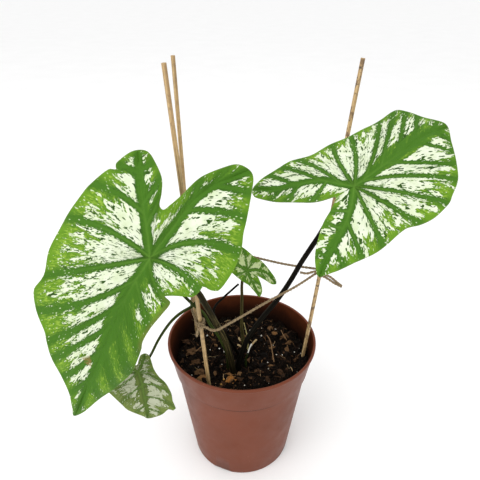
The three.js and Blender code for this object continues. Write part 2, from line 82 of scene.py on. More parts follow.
def lamp(name, size, power, place, aim):
    """A large square lamp that faces a point of the plant."""
    data = bpy.data.lights.new(name, "AREA")
    data.size = size
    data.energy = power
    light = bpy.data.objects.new(name, data)
    light.location = place
    light.rotation_euler = (Vector(aim) - Vector(place)).to_track_quat("-Z", "Y").to_euler()
    bpy.context.scene.collection.objects.link(light)


lamp("lamp_overhead", 1.2, 6, (-0.35, -0.45, 1.25), (0, 0, 0.15))
lamp("lamp_window", 1.0, 5, (-0.8, -1.0, 0.7), (0, 0, 0.15))
lamp("lamp_fill", 1.2, 1.5, (1.0, -0.8, 0.6), (0, 0, 0.12))

room = bpy.data.worlds.new("room")
room.use_nodes = True
room.node_tree.nodes["Background"].inputs["Color"].default_value = (1, 1, 1, 1)
room.node_tree.nodes["Background"].inputs["Strength"].default_value = 1.0
bpy.context.scene.world = room


def node(tree, kind, sockets=None, **settings):
    """Adds a shader node; a socket's value is a plain value, or another node's output to link."""
    made = tree.nodes.new("ShaderNode" + kind)
    for name, value in settings.items():
        setattr(made, name, value)
    for socket, value in (sockets or {}).items():
        if isinstance(value, bpy.types.NodeSocket):
            tree.links.new(value, made.inputs[socket])
        else:
            made.inputs[socket].default_value = value
    return made


def ramp(tree, value, *stops):
    """A colour or grey ramp over a value: each stop is a place and its colour."""
    made = node(tree, "ValToRGB", {"Fac": value})
    band = made.color_ramp
    while len(band.elements) < len(stops):
        band.elements.new(0.5)
    for element, (place, colour) in zip(band.elements, stops):
        element.position = place
        element.color = (colour, colour, colour, 1) if isinstance(colour, (int, float)) else colour
    return made.outputs[0]


def speckle(tree, where, scale, detail=3, rough=0.5, stretch=(1, 1, 1)):
    """Noise over a coordinate, stretched along its axes; scale is in waves per metre."""
    mapped = node(tree, "Mapping", {"Vector": where, "Scale": stretch})
    sockets = {"Vector": mapped.outputs[0], "Scale": scale, "Detail": detail, "Roughness": rough}
    return node(tree, "TexNoise", sockets).outputs[0]


def material(name, **values):
    """A new material and its tree, its Principled BSDF and its object coordinates."""
    made = bpy.data.materials.new(name)
    made.use_nodes = True
    tree = made.node_tree
    shader = tree.nodes["Principled BSDF"]
    for socket, value in values.items():
        shader.inputs[socket.replace("_", " ")].default_value = value
    return made, tree, shader, node(tree, "TexCoord").outputs["Object"]


def paint(tree, shader, colour):
    """Gives the surface its colour."""
    tree.links.new(colour, shader.inputs["Base Color"])


FLOOR_REACH = 30
table, tree, shader, place = material("table", Roughness=0.6)
cloud = speckle(tree, place, 9, 4)
paint(tree, shader, ramp(tree, cloud, (0.3, linear(248, 248, 248)), (0.7, linear(251, 251, 251))))
top = bmesh.new()
bmesh.ops.create_grid(top, x_segments=2, y_segments=2, size=FLOOR_REACH)
mesh = bpy.data.meshes.new("floor")
top.to_mesh(mesh)
floor = bpy.data.objects.new("floor", mesh)
mesh.materials.append(table)
bpy.context.scene.collection.objects.link(floor)
floor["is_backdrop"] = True

# Pot
# A thin-walled round nursery pot, injection moulded in terracotta-coloured plastic: a tapered body, a
# wider band below the rolled lip for stacking and gripping, and drainage notches round its foot.
POT = dict(rim=60, mouth=58.1, foot=41.2, height=114, wall=1.4, floor=1.6, band=25.7, step=1, lip=2.4,
           waist=53.6)
NOTCH = dict(width=16, depth=8, height=2.2, first=-23, count=4)


def piece(name, bm, finish, slot, sharp=32):
    """Turns a bmesh into a piece of the root body: smooth, but for edges sharper than an angle."""
    for face in bm.faces:
        face.smooth = True
    for edge in bm.edges:
        edge.smooth = not (edge.is_manifold and edge.calc_face_angle(0) > math.radians(sharp))
    mesh = bpy.data.meshes.new(name)
    bm.to_mesh(mesh)
    bm.free()
    for part in finish if isinstance(finish, (list, tuple)) else [finish]:
        mesh.materials.append(part)
    made = bpy.data.objects.new(name, mesh)
    bpy.context.scene.collection.objects.link(made)
    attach(made, "root")
    return made


def turned(profile, steps):
    """A shape turned on the pot's axis from a line of (radius, height)."""
    bm = bmesh.new()
    line = [bm.verts.new((radius * MM, 0, height * MM)) for radius, height in profile]
    edges = [bm.edges.new(pair) for pair in zip(line, line[1:])]
    bmesh.ops.spin(bm, geom=line + edges, cent=(0, 0, 0), axis=(0, 0, 1), angle=math.tau, steps=steps,
                   use_merge=True)
    bmesh.ops.remove_doubles(bm, verts=bm.verts, dist=1e-6)
    bmesh.ops.recalc_face_normals(bm, faces=bm.faces)
    return bm


def rounded(corner, before, after, radius, steps=4):
    """A profile corner as a small arc between its two neighbours."""
    corner, before, after = Vector(corner), Vector(before), Vector(after)
    start = corner + (before - corner).normalized() * radius
    end = corner + (after - corner).normalized() * radius
    for k in range(steps + 1):
        share = k / steps
        yield tuple((1 - share) ** 2 * start + 2 * share * (1 - share) * corner + share**2 * end)


def softened(profile, radii):
    """A profile with some of its corners rounded: radii maps a corner's number to its radius."""
    for k, point in enumerate(profile):
        if k in radii:
            yield from rounded(point, profile[k - 1], profile[k + 1], radii[k])
        else:
            yield point


band_foot = POT["height"] - POT["band"]
lip_foot = POT["height"] - POT["lip"]
band_radius = POT["waist"] + POT["step"]
outside = [
    (0, 0), (POT["foot"], 0), (POT["waist"] - 0.3, band_foot - 0.2), (band_radius, band_foot + 0.2),
    (POT["rim"] - 1.1, lip_foot - 0.5), (POT["rim"] - 0.1, lip_foot + 0.2),
    (POT["rim"] - 0.1, POT["height"]),
]
inside = [
    (POT["mouth"], POT["height"]), (band_radius - POT["wall"], band_foot + 2),
    (POT["waist"] - POT["wall"], band_foot - 2), (POT["foot"] - POT["wall"], POT["floor"]),
    (0, POT["floor"]),
]
corners = {1: 1.4, 2: 0.12, 3: 0.2, 4: 0.4, 5: 0.5, 6: 0.8, 7: 0.7, 10: 1.5}
shell = turned(list(softened(outside + inside, corners)), 144)


def tapered(bm, foot, top, rows):
    """Cuts long wall faces into rows, so that the wall shades and bumps evenly."""
    for k in range(1, rows):
        height = (foot + (top - foot) * k / rows) * MM
        everything = bm.verts[:] + bm.edges[:] + bm.faces[:]
        bmesh.ops.bisect_plane(bm, geom=everything, plane_co=(0, 0, height), plane_no=(0, 0, 1))


tapered(shell, 2, band_foot, 5)


def maths(tree, operation, *values, clamp=False):
    """One Math node, with its values in order."""
    return node(tree, "Math", dict(enumerate(values)), operation=operation, use_clamp=clamp).outputs[0]


def blend(tree, factor, first, second):
    """Mixes two colours by a factor."""
    return node(tree, "Mix", {0: factor, 6: first, 7: second}, data_type="RGBA").outputs[2]


def split(tree, vector):
    """The three numbers of a vector."""
    return node(tree, "SeparateXYZ", {0: vector}).outputs


def within(tree, distance, reach, peak=1.0):
    """A mask that falls from its peak at distance 0, by 1 for each reach, and is held from 0 to 1."""
    return maths(tree, "SUBTRACT", peak, maths(tree, "DIVIDE", distance, reach), clamp=True)


def tint(tree, colour, mask, most, over):
    """Lays another colour over a colour by a mask, at most to the share given."""
    return blend(tree, maths(tree, "MULTIPLY", mask, most), colour, over)


def relief(tree, shader, height, distance, strength=1.0):
    """Bumps the surface by a height from 0 to 1 over a depth in millimetres."""
    sockets = {"Height": height, "Distance": distance * MM, "Strength": strength}
    tree.links.new(node(tree, "Bump", sockets).outputs[0], shader.inputs["Normal"])


plastic, tree, shader, place = material("terracotta_plastic", Roughness=0.4, Specular_IOR_Level=0.14)
cloud = speckle(tree, place, 26, 4, 0.55)
streak = speckle(tree, place, 60, 3, 0.5, stretch=(1, 1, 0.12))
body = ramp(tree, cloud, (0.3, linear(104, 54, 35)), (0.7, linear(113, 59, 39)))
body = tint(tree, body, streak, 0.35, linear(97, 50, 33))
# Painted shadow: a dark line on the wall just under the band, where the band's overhang shades it, set low
# enough to be seen past the overhang.
seam = maths(tree, "ABSOLUTE", maths(tree, "SUBTRACT", split(tree, place)[2], (band_foot - 1.3) * MM))
body = tint(tree, body, within(tree, seam, 0.8 * MM, 1.5), 0.7, linear(58, 30, 22))
dust = ramp(tree, speckle(tree, place, 420, 2, 0.6), (0.72, 0.0), (0.78, 0.45))
paint(tree, shader, blend(tree, dust, body, linear(165, 115, 95)))
sheen = ramp(tree, speckle(tree, place, 90, 4, 0.6), (0.3, 0.36), (0.75, 0.52))
tree.links.new(sheen, shader.inputs["Roughness"])
relief(tree, shader, speckle(tree, place, 700, 2), 0.03, 0.6)

# Painted shade: the inner wall gets darker the deeper it lies below the rim, standing in for the shade
# inside the pot, with damp stains from the soil mottled over it.
damp_and_shade, tree, shader, place = material("damp_and_shaded_inner_wall", Roughness=0.5, Specular_IOR_Level=0.05)
stain = speckle(tree, place, 45, 4, 0.6)
down = maths(tree, "SUBTRACT", POT["height"] * MM, split(tree, place)[2])
darkening = maths(tree, "MULTIPLY_ADD", maths(tree, "SUBTRACT", stain, 0.5), 0.9,
            maths(tree, "DIVIDE", down, 16 * MM), clamp=True)
paint(tree, shader, ramp(tree, darkening, (0.1, linear(76, 36, 17)), (0.55, linear(46, 21, 10)),
                         (1.0, linear(25, 13, 8))))
relief(tree, shader, stain, 0.1)
for face in shell.faces:
    centre = face.calc_center_median() / MM
    inward = face.normal.x * centre.x + face.normal.y * centre.y < -0.5
    upward = centre.z > 1 and face.normal.z > 0.7
    face.material_index = int((inward or upward) and centre.z < POT["height"] - 1.2)

pot = piece("pot_shell", shell, [plastic, damp_and_shade], "pot_plastic")
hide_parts("pot")

cutter = bmesh.new()
for k in range(NOTCH["count"]):
    turn = math.radians(NOTCH["first"] - 90 + 360 * k / NOTCH["count"])
    shape = (
        Matrix.Rotation(turn, 4, "Z")
        @ Matrix.Translation((POT["foot"] * MM, 0, 0))
        @ Matrix.Diagonal((1, NOTCH["width"] / 2 / NOTCH["height"], 1, 1))
        @ Matrix.Rotation(math.pi / 2, 4, "Y")
    )
    radius = NOTCH["height"] * MM
    bmesh.ops.create_cone(cutter, cap_ends=True, segments=32, radius1=radius, radius2=radius,
                          depth=NOTCH["depth"] * MM, matrix=shape)
mesh = bpy.data.meshes.new("notches")
cutter.to_mesh(mesh)
notches = bpy.data.objects.new("notches", mesh)
bpy.context.scene.collection.objects.link(notches)
cut = pot.modifiers.new("notches", "BOOLEAN")
cut.object = notches
cut.solver = "EXACT"
whole = bpy.data.meshes.new_from_object(pot.evaluated_get(bpy.context.evaluated_depsgraph_get()))
pot.modifiers.clear()
pot.data = whole
bpy.data.objects.remove(notches)

# Soil
# Damp peat with bark, wood fibre, perlite and a few grains of slow-release feed, pressed into the pot
# by hand: it slopes up to the right and lies a little off the wall after it has dried and shrunk.
SOIL = dict(level=97.5, gap=0.3, reach=53.4, rings=104)
chance = random.Random(7)


def soil_height(x, y):
    """The plain height of the soil in millimetres, as the solid has it."""
    lumps = 1.1 * math.sin(0.31 * x + 0.6) * math.cos(0.27 * y) + 0.7 * math.sin(0.53 * x - 0.47 * y + 1.9)
    return SOIL["level"] + 0.035 * x - 0.03 * y + lumps


def soil_surface(x, y):
    """The height with crumbs and clods on it."""
    spot = Vector((x, y, 0))
    clods = noise.fractal(spot * 0.11, 0.9, 2.1, 4, noise_basis="PERLIN_ORIGINAL") * 2.3
    crumbs = noise.turbulence(spot * 0.42 + Vector((9, 4, 2)), 3, False, noise_basis="VORONOI_F1")
    return soil_height(x, y) + clods + 1.9 * crumbs - 1.2


def wall_at(height):
    """The radius of the pot's inner wall beside the soil's top."""
    inner = band_radius - POT["wall"]
    return inner + (height - band_foot - 2) * (POT["mouth"] - inner) / (POT["band"] - 2)


reach = SOIL["reach"]
profile = [(0, POT["floor"] + 0.3), (POT["foot"] - POT["wall"] - 1.4, POT["floor"] + 0.3),
           (POT["waist"] - POT["wall"] - 0.4, band_foot - 2), (reach - 0.6, band_foot + 2)]
profile += [(reach * (1 - k / SOIL["rings"]), SOIL["level"]) for k in range(SOIL["rings"] + 1)]
heap = turned(profile, 200)
for vert in heap.verts:
    x, y, z = vert.co / MM
    if z > SOIL["level"] - 0.01:
        height = soil_surface(x, y)
        edge = max(0, math.hypot(x, y) / reach - 0.94) / 0.06
        height -= 1.6 * edge**2
        grow = 1 + edge * ((wall_at(height) - SOIL["gap"]) / reach - 1)
        vert.co = Vector((x * grow, y * grow, height)) * MM
bmesh.ops.recalc_face_normals(heap, faces=heap.faces)

peat, tree, shader, place = material("peat", Roughness=0.92, Specular_IOR_Level=0.08)
grain = speckle(tree, place, 900, 5, 0.7)
patch = speckle(tree, place, 110, 4, 0.6)
fine = ramp(tree, grain, (0.36, linear(5, 4, 3)), (0.55, linear(18, 13, 9)), (0.72, linear(58, 40, 27)))
coarse = ramp(tree, grain, (0.36, linear(16, 10, 7)), (0.6, linear(52, 34, 22)),
              (0.8, linear(100, 72, 46)))
peat_colour = blend(tree, ramp(tree, patch, (0.5, 0.0), (0.7, 0.55)), fine, coarse)
crumbs = node(tree, "TexVoronoi", {"Vector": place, "Scale": 700.0}, feature="F1")
bits = maths(tree, "MULTIPLY", ramp(tree, crumbs.outputs["Color"], (0.9, 0.0), (0.93, 1.0)), 0.5)
paint(tree, shader, blend(tree, bits, peat_colour, linear(120, 88, 62)))
lumps = maths(tree, "MULTIPLY", crumbs.outputs["Distance"], 0.8)
relief(tree, shader, maths(tree, "ADD", grain, lumps), 1.4)
soil = piece("soil_heap", heap, peat, "potting_soil", sharp=180)
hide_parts("soil")

# Bits in the soil
# Chips of composted bark, clumps of moss peat, white perlite and amber feed grains, which lie loose on
# the peat or half sunk in it. The larger ones lie where the photograph shows them.
def tinted(name, colours, rough, spread, bump=0.25):
    """A material whose pieces each take their own tone between colours, from the tone attribute."""
    made, tree, shader, place = material(name, Roughness=rough, Specular_IOR_Level=0.1)
    tone = node(tree, "Attribute", attribute_name="tone", attribute_type="GEOMETRY").outputs["Fac"]
    grain = speckle(tree, place, 500, 4, 0.65)
    mixed = maths(tree, "MULTIPLY_ADD", maths(tree, "SUBTRACT", grain, 0.5), spread, tone)
    stops = [(k / max(1, len(colours) - 1), colour) for k, colour in enumerate(colours)]
    paint(tree, shader, ramp(tree, mixed, *stops))
    relief(tree, shader, grain, bump)
    return made


def scattered(count, reach_mm):
    """Random places on the soil, even over its area, each with its height."""
    for _ in range(count):
        radius = reach_mm * math.sqrt(chance.random())
        angle = chance.uniform(0, math.tau)
        x, y = radius * math.cos(angle), radius * math.sin(angle)
        yield x, y, soil_surface(x, y)


def toned(bm):
    """The tone layer of a bmesh, made if it is new."""
    return bm.verts.layers.float.get("tone") or bm.verts.layers.float.new("tone")


def crumb(bm, place_mm, size, flat, tone, rough=0.25, tilt=0.5, fine=1):
    """A broken bit: a rough faceted lump, flattened and turned at random."""
    first = len(bm.verts)
    turn = Matrix.Rotation(chance.uniform(0, math.tau), 4, "Z")
    turn = turn @ Matrix.Rotation(chance.uniform(-tilt, tilt), 4, "X")
    sizes = Matrix.Diagonal((*[across * MM / 2 for across in size], 1))
    shape = Matrix.Translation(Vector(place_mm) * MM) @ turn @ sizes
    bmesh.ops.create_icosphere(bm, subdivisions=fine, radius=1, matrix=Matrix())
    layer = toned(bm)
    bm.verts.ensure_lookup_table()
    for vert in bm.verts[first:]:
        spot = vert.co * 2.1 + Vector((tone * 31, size[0], size[1]))
        vert.co *= 1 + rough * noise.noise(spot) * 2
        vert.co.z *= flat
        vert.co = shape @ vert.co
        vert[layer] = tone


chips = bmesh.new()
CHIPS = [((-8.4, -32.3), (8.5, 6.5, 4), 0.95), ((-31.7, -31.8), (10, 4.5, 2.5), 0.8),
         ((-33, -24.5), (7, 5, 3), 0.62), ((-37, -9), (9, 6, 5), 0.55), ((-42, 3), (8, 6, 4), 0.6),
         ((-35, 5), (6, 5, 4), 0.5), ((-47, 14), (7, 5, 3), 0.45), ((25, 6), (7, 4, 3), 0.7),
         ((37, 19), (8, 5, 4), 0.62), ((40, 12), (6, 3, 3), 0.66), ((13, -23), (6, 4, 3), 0.5),
         ((30, -24), (6, 4, 3), 0.45), ((44, -8), (6, 3, 3), 0.5), ((20, -31), (5, 4, 3), 0.4),
         ((-16, -40), (5, 3, 2), 0.5)]
for (x, y), size, tone in CHIPS:
    crumb(chips, (x, y, soil_surface(x, y) + size[2] * 0.2), size, 0.8, tone, rough=0.55, fine=3)
for x, y, z in scattered(620, 51):
    long = 1.2 + 5.6 * chance.random() ** 2.6
    size = (long, long * chance.uniform(0.4, 0.9), long * chance.uniform(0.25, 0.6))
    crumb(chips, (x, y, z + size[2] * 0.15), size, 1, chance.random() ** 2.4 * 0.8, rough=0.6, tilt=0.9)
BARK_TONES = [
    linear(10, 7, 5), linear(30, 20, 13), linear(66, 45, 29), linear(108, 80, 52), linear(150, 98, 46),
]
bark_bits = tinted("bark_bits", BARK_TONES, 0.85, spread=0.5, bump=0.4)
piece("soil_bark", chips, bark_bits, "potting_soil", sharp=24)

grains = bmesh.new()
PERLITE = [(-26.6, 5.5), (-18.6, 3.8), (-16, -10.8), (-14.6, -0.6), (7.5, 29), (10.5, -0.6), (21, -13),
           (28.5, -4.3), (33.2, -5), (43.4, -1.7), (-3, 30), (17, 20), (-30, 22), (2, -40), (30, 30)]
for x, y in PERLITE:
    across = chance.uniform(1.0, 1.7)
    size = (across, across * 0.8, across * 0.8)
    crumb(grains, (x, y, soil_surface(x, y) + 0.5), size, 1, chance.uniform(0.6, 1), fine=2)
for x, y, z in scattered(34, 50):
    across = chance.uniform(0.5, 1.3)
    crumb(grains, (x, y, z + 0.2), (across, across, across), 1, chance.uniform(0.1, 0.9))
perlite = tinted("perlite", [linear(120, 108, 94), linear(186, 178, 164), linear(226, 222, 212)], 0.8, 0.4)
piece("soil_perlite", grains, perlite, "potting_soil", sharp=60)

feed = bmesh.new()
FEED = [(-15.9, -36.6), (-13.9, -30.6), (-15.4, -33.4), (13.4, -7)]
for x, y in FEED:
    spot = Matrix.Translation(Vector((x, y, soil_surface(x, y) + 0.7)) * MM)
    bmesh.ops.create_icosphere(feed, subdivisions=3, radius=chance.uniform(0.7, 1.0) * MM, matrix=spot)
amber, tree, shader, place = material("amber_feed", Roughness=0.3, Coat_Weight=0.3)
honey = ramp(tree, speckle(tree, place, 300, 3), (0.3, linear(150, 100, 38)), (0.7, linear(186, 142, 68)))
paint(tree, shader, honey)
piece("soil_feed", feed, amber, "potting_soil", sharp=180)


def hermite(p0, p1, p2, p3, share, steps):
    """A point between p1 and p2 on a smooth curve whose knots lie the given steps apart."""
    before, here, after = steps
    start = ((p1 - p0) / before - (p2 - p0) / (before + here) + (p2 - p1) / here) * here
    end = ((p2 - p1) / here - (p3 - p1) / (here + after) + (p3 - p2) / after) * here
    bend = -3 * p1 + 3 * p2 - 2 * start - end
    return p1 + start * share + bend * share**2 + (2 * p1 - 2 * p2 + start + end) * share**3


def curve_through(points, closed=False, even=False):
    """A smooth curve through points, as a function of the share of its control points."""
    knots = [np.array(point, float) for point in points]
    spans = len(knots) if closed else len(knots) - 1

    def at(share):
        here = min(spans - 1, max(0, math.floor(share * spans + 1e-9)))
        if closed:
            near = [knots[(here + k) % spans] for k in (-1, 0, 1, 2)]
        else:
            first = 2 * knots[0] - knots[1] if here == 0 else knots[here - 1]
            last = 2 * knots[-1] - knots[-2] if here == spans - 1 else knots[here + 2]
            near = [first, knots[here], knots[here + 1], last]
        gaps = [1.0 if even else max(1e-3, np.linalg.norm(b - a) ** 0.5) for a, b in zip(near, near[1:])]
        return hermite(*near, share * spans - here, gaps)

    return at


def evenly(points, step):
    """Points a step apart on the smooth curve through the given points."""
    at = curve_through(points)
    fine = np.array([at(k / 400) for k in range(401)])
    run = np.concatenate([[0], np.cumsum(np.linalg.norm(np.diff(fine, axis=0), axis=1))])
    count = max(3, round(run[-1] / step))
    places = np.linspace(0, run[-1], count + 1)
    return np.column_stack([np.interp(places, run, fine[:, k]) for k in range(3)]), run[-1]


def swept(bm, points, radius_at, sides=12, step=3.0, twist=0.0, section=None, capped=True):
    """Draws a round section along a path by extrusion. The strand layer keeps each corner's place on
    the section and its length along the path in millimetres, which the grain of a finish follows."""
    path, length = evenly(points, step)
    strand = bm.verts.layers.float_vector.get("strand") or bm.verts.layers.float_vector.new("strand")
    tangents = np.gradient(path, axis=0)
    normal = Vector((0.3, 0.9, 0.2)).cross(Vector(tangents[0])).normalized()
    ring = bmesh.ops.create_circle(bm, cap_ends=False, segments=sides, radius=1)["verts"]
    if section:
        for vert in ring:
            vert.co *= section(math.atan2(vert.co.y, vert.co.x))
    edges = list({edge for vert in ring for edge in vert.link_edges})
    last = Matrix()
    first_ring = ring
    for k, (point, tangent) in enumerate(zip(path, tangents)):
        along = Vector(tangent).normalized()
        normal = (normal - along * normal.dot(along)).normalized()
        side = along.cross(normal)
        share = k / (len(path) - 1)
        axes = Matrix((normal, side, along)).transposed().to_4x4()
        size = radius_at(share) * MM
        place = Matrix.Translation(Vector(point) * MM) @ axes
        place = place @ Matrix.Rotation(twist * share * length, 4, "Z")
        place = place @ Matrix.Diagonal((size, size, size, 1))
        if k:
            grown = bmesh.ops.extrude_edge_only(bm, edges=edges)["geom"]
            ring = [part for part in grown if isinstance(part, bmesh.types.BMVert)]
            edges = [part for part in grown if isinstance(part, bmesh.types.BMEdge)]
        back = last.inverted()
        for vert in ring:
            local = back @ vert.co
            vert.co = place @ local
            vert[strand] = (local.x, local.y, share * length)
        last = place
    if capped:
        ends = [list({e for v in loop for e in v.link_edges if all(w in loop for w in e.verts)})
                for loop in (set(first_ring), set(ring))]
        for loop in ends:
            bmesh.ops.edgeloop_fill(bm, edges=loop)
    bmesh.ops.recalc_face_normals(bm, faces=bm.faces)


def swept_bit(bm, line, radius_at, tone, sides, step):
    """A swept bit with a tone of its own."""
    before = set(bm.verts)
    swept(bm, line, radius_at, sides=sides, step=step)
    layer = toned(bm)
    for vert in set(bm.verts) - before:
        vert[layer] = tone


fibres = bmesh.new()
toned(fibres)
for x, y, z in scattered(150, 50):
    long = chance.uniform(4, 13)
    turn = chance.uniform(0, math.tau)
    bend = chance.uniform(-0.5, 0.5)
    line = []
    for k in range(4):
        across = long * (k / 3 - 0.5)
        place_x = x + across * math.cos(turn) + bend * 4 * math.sin(k) * math.sin(turn)
        place_y = y + across * math.sin(turn) - bend * 4 * math.sin(k) * math.cos(turn)
        if math.hypot(place_x, place_y) > 52:
            break
        line.append((place_x, place_y, soil_surface(place_x, place_y) + chance.uniform(0.2, 1.4)))
    if len(line) < 4:
        continue
    thick = chance.uniform(0.14, 0.38)
    swept_bit(fibres, line, lambda share: thick * (1.1 - share * 0.7), chance.random() ** 1.6, 4, 2.2)
STRAWS = [([(21.5, 14, 104), (23.8, 6, 104.5), (25, -6, 102.5), (25.9, -14.5, 100)], 0.42, 0.7),
          ([(-2.6, 12.2, 103), (-1.2, 10, 101)], 0.8, 1),
          ([(-3.6, 5, 101.5), (-0.5, 3.6, 100.5)], 0.8, 1),
          ([(8, 14.5, 103), (6, 11.6, 101.5)], 0.8, 1),
          ([(12.5, 9, 103.5), (9.8, 6.6, 102), (7.6, 3.8, 101)], 0.8, 1),
          ([(34, 22, 103), (35.5, 14, 104), (38, 10, 102)], 0.4, 0.7),
          ([(-38, -2, 100), (-33, 2, 102), (-30, 6, 100)], 0.4, 0.7)]
for line, thick, tone in STRAWS:
    swept_bit(fibres, line, lambda share: thick, tone, 6, 1.2)
FIBRE_TONES = [linear(34, 22, 15), linear(76, 52, 34), linear(112, 82, 56), linear(186, 160, 118)]
straw = tinted("wood_fibre", FIBRE_TONES, 0.8, spread=0.3)
piece("soil_fibres", fibres, straw, "potting_soil", sharp=180)

SLIVER = [(8.2, 3.3, 103.4), (6.4, -0.4, 102), (5, -4.5, 100.6)]
sliver = bmesh.new()
toned(sliver)
swept_bit(sliver, SLIVER, lambda share: 0.75 - 0.3 * share, 1, 8, 0.8)
piece("soil_sliver", sliver, perlite, "potting_soil", sharp=180)

# Tuber
# The corm that the whole plant grows from, brown and scaly, hidden in the soil under the stems.
skin, tree, shader, place = material("tuber_skin", Roughness=0.85)
scales = speckle(tree, place, 160, 5, 0.7)
paint(tree, shader, ramp(tree, scales, (0.3, linear(54, 34, 20)), (0.7, linear(122, 82, 50))))
relief(tree, shader, scales, 0.8)
bpy.data.objects["tuber"].data.materials.clear()
bpy.data.objects["tuber"].data.materials.append(skin)

# Leaf blades
# Four arrow-shaped blades, thin and soft, each held at its seat by the stem below. Green bands follow
# the veins and the margin, and the tissue between them is white, broken into flecks towards the edge.

# A row is (share of the rib, across, along, vein, bow, white from, white to): a line leaves the rib at
# that share and meets the margin at that point. A fan's lines all leave the seat.
PLAIN = (0, 0, 0.12, 0.8)
LEAF_LEFT = dict(
    seat=(-54.5, -65.9, 227.6), normal=(-0.05, -0.984, 0.17), along=(-0.446, -0.13, -0.885),
    camber=(0.0016, 0.0007, 0.0014), fold=0.05, quilt=1, wave=1.2, rim=4, band=2.4, rib=3.3,
    seed=3, breakup=1,
    ribs=dict(
        mid=[(0, 0), (-3, 30), (-2, 75), (-1, 141)],
        right=[(0, 0), (4, -22), (8, -42), (15, -56), (29, -72)],
        left=[(0, 0), (-8, -14), (-17, -28), (-26, -43), (-32, -54)],
    ),
    mid_right=[(0, 22.6, 21.8, 1, 4, 0.3, 0.95), (0.1, 21, 31, 0, 0, 0.35, 0.98),
               (0.2, 18.5, 45, 1, 0, 0.3, 0.8), (0.3, 18, 56, 0, 0, 0.5, 0.6),
               (0.35, 19.5, 64, 1, 0, 0.6, 0.4), (0.5, 20.5, 88, 1, 0, 0.6, 0.3),
               (0.65, 16, 102, 1, 0, 0.6, 0.3), (0.8, 9.5, 117, 1, 0, 0.6, 0.3)],
    right_fan=[(0, 17.5, 19, 0, 2, 0.12, 0.95), (0, 29, 14.2, 0, 0, 0.1, 0.93),
               (0, 33, 12, 0, -2, 0.1, 0.93), (0, 35, 7, 1, -4, 0.1, 0.9),
               (0, 36, 2.5, 0, -4, 0.1, 0.96), (0, 41.5, 3, 0, -5, 0.1, 0.92),
               (0, 46, 0.5, 0, -6, 0.1, 0.9), (0, 47.5, -13, 0, -8, 0.1, 0.72)],
    right_outer=[(0, 46.6, -26, 1, -9, 0.1, 0.8), (0.25, 42.5, -38, 0, -4, 0.08, 0.88),
                 (0.4, 40.5, -46, 1, -2.5, 0.1, 0.86), (0.75, 36, -61, 1, 0, 0.12, 0.85),
                 (0.9, 33, -69, 0, 0, 0.3, 0.6)],
    right_inner=[(0, -2.5, -35, 0, 0, 0.15, 0.8), (0.2, 0.6, -42, 0, 0, 0.2, 0.8),
                 (0.5, 6.4, -57, 1, 0, 0.25, 0.75), (0.7, 16.5, -68, 1, 0, 0.3, 0.72),
                 (0.85, 22.5, -72, 0, 0, 0.4, 0.6)],
    sinus=[(0, -4.9, -30.5, 0, 0, 0.25, 0.8)],
    left_inner=[(0, -8, -32, 0, 0, 0.2, 0.8), (0.3, -9.8, -39, 1, 0, 0.3, 0.7),
                (0.5, -13.4, -46.5, 1, 0, 0.35, 0.7), (0.75, -21.4, -53, 1, 0, 0.35, 0.75),
                (0.9, -27, -55.5, 0, 0, 0.4, 0.7)],
    left_outer=[(0, -54.5, 1, 1, 4.5, 0.05, 0.9), (0.2, -51, -16.5, 0, 3, 0.05, 0.86),
                (0.4, -48.5, -24.5, 1, 3, 0.05, 0.6), (0.65, -43, -36, 0, 0, 0.1, 0.62),
                (0.7, -38.6, -38.5, 0, 0, 0.1, 0.98), (0.75, -40, -41.5, 1, 0, 0.3, 0.98),
                (0.9, -36, -50, 0, 0, 0.4, 0.95)],
    left_fan=[(0, -57, 25, 0, 2, 0.05, 0.85)],
    mid_left=[(0, -54.6, 44, 1, 0, 0.05, 0.92), (0.1, -57, 57, 0, -2, 0.06, 0.9),
              (0.2, -51.5, 70, 1, -3.5, 0.15, 0.8), (0.3, -41.5, 81, 0, -3, 0.15, 0.72),
              (0.35, -38, 87, 1, -2, 0.2, 0.75), (0.5, -30.5, 100, 1, -1, 0.22, 0.75),
              (0.65, -20, 111.5, 1, 0, 0.2, 0.9), (0.8, -10.5, 122.5, 1, 0, 0.25, 0.8),
              (0.9, -5, 134, 0, 0, 0.6, 0.4)],
)
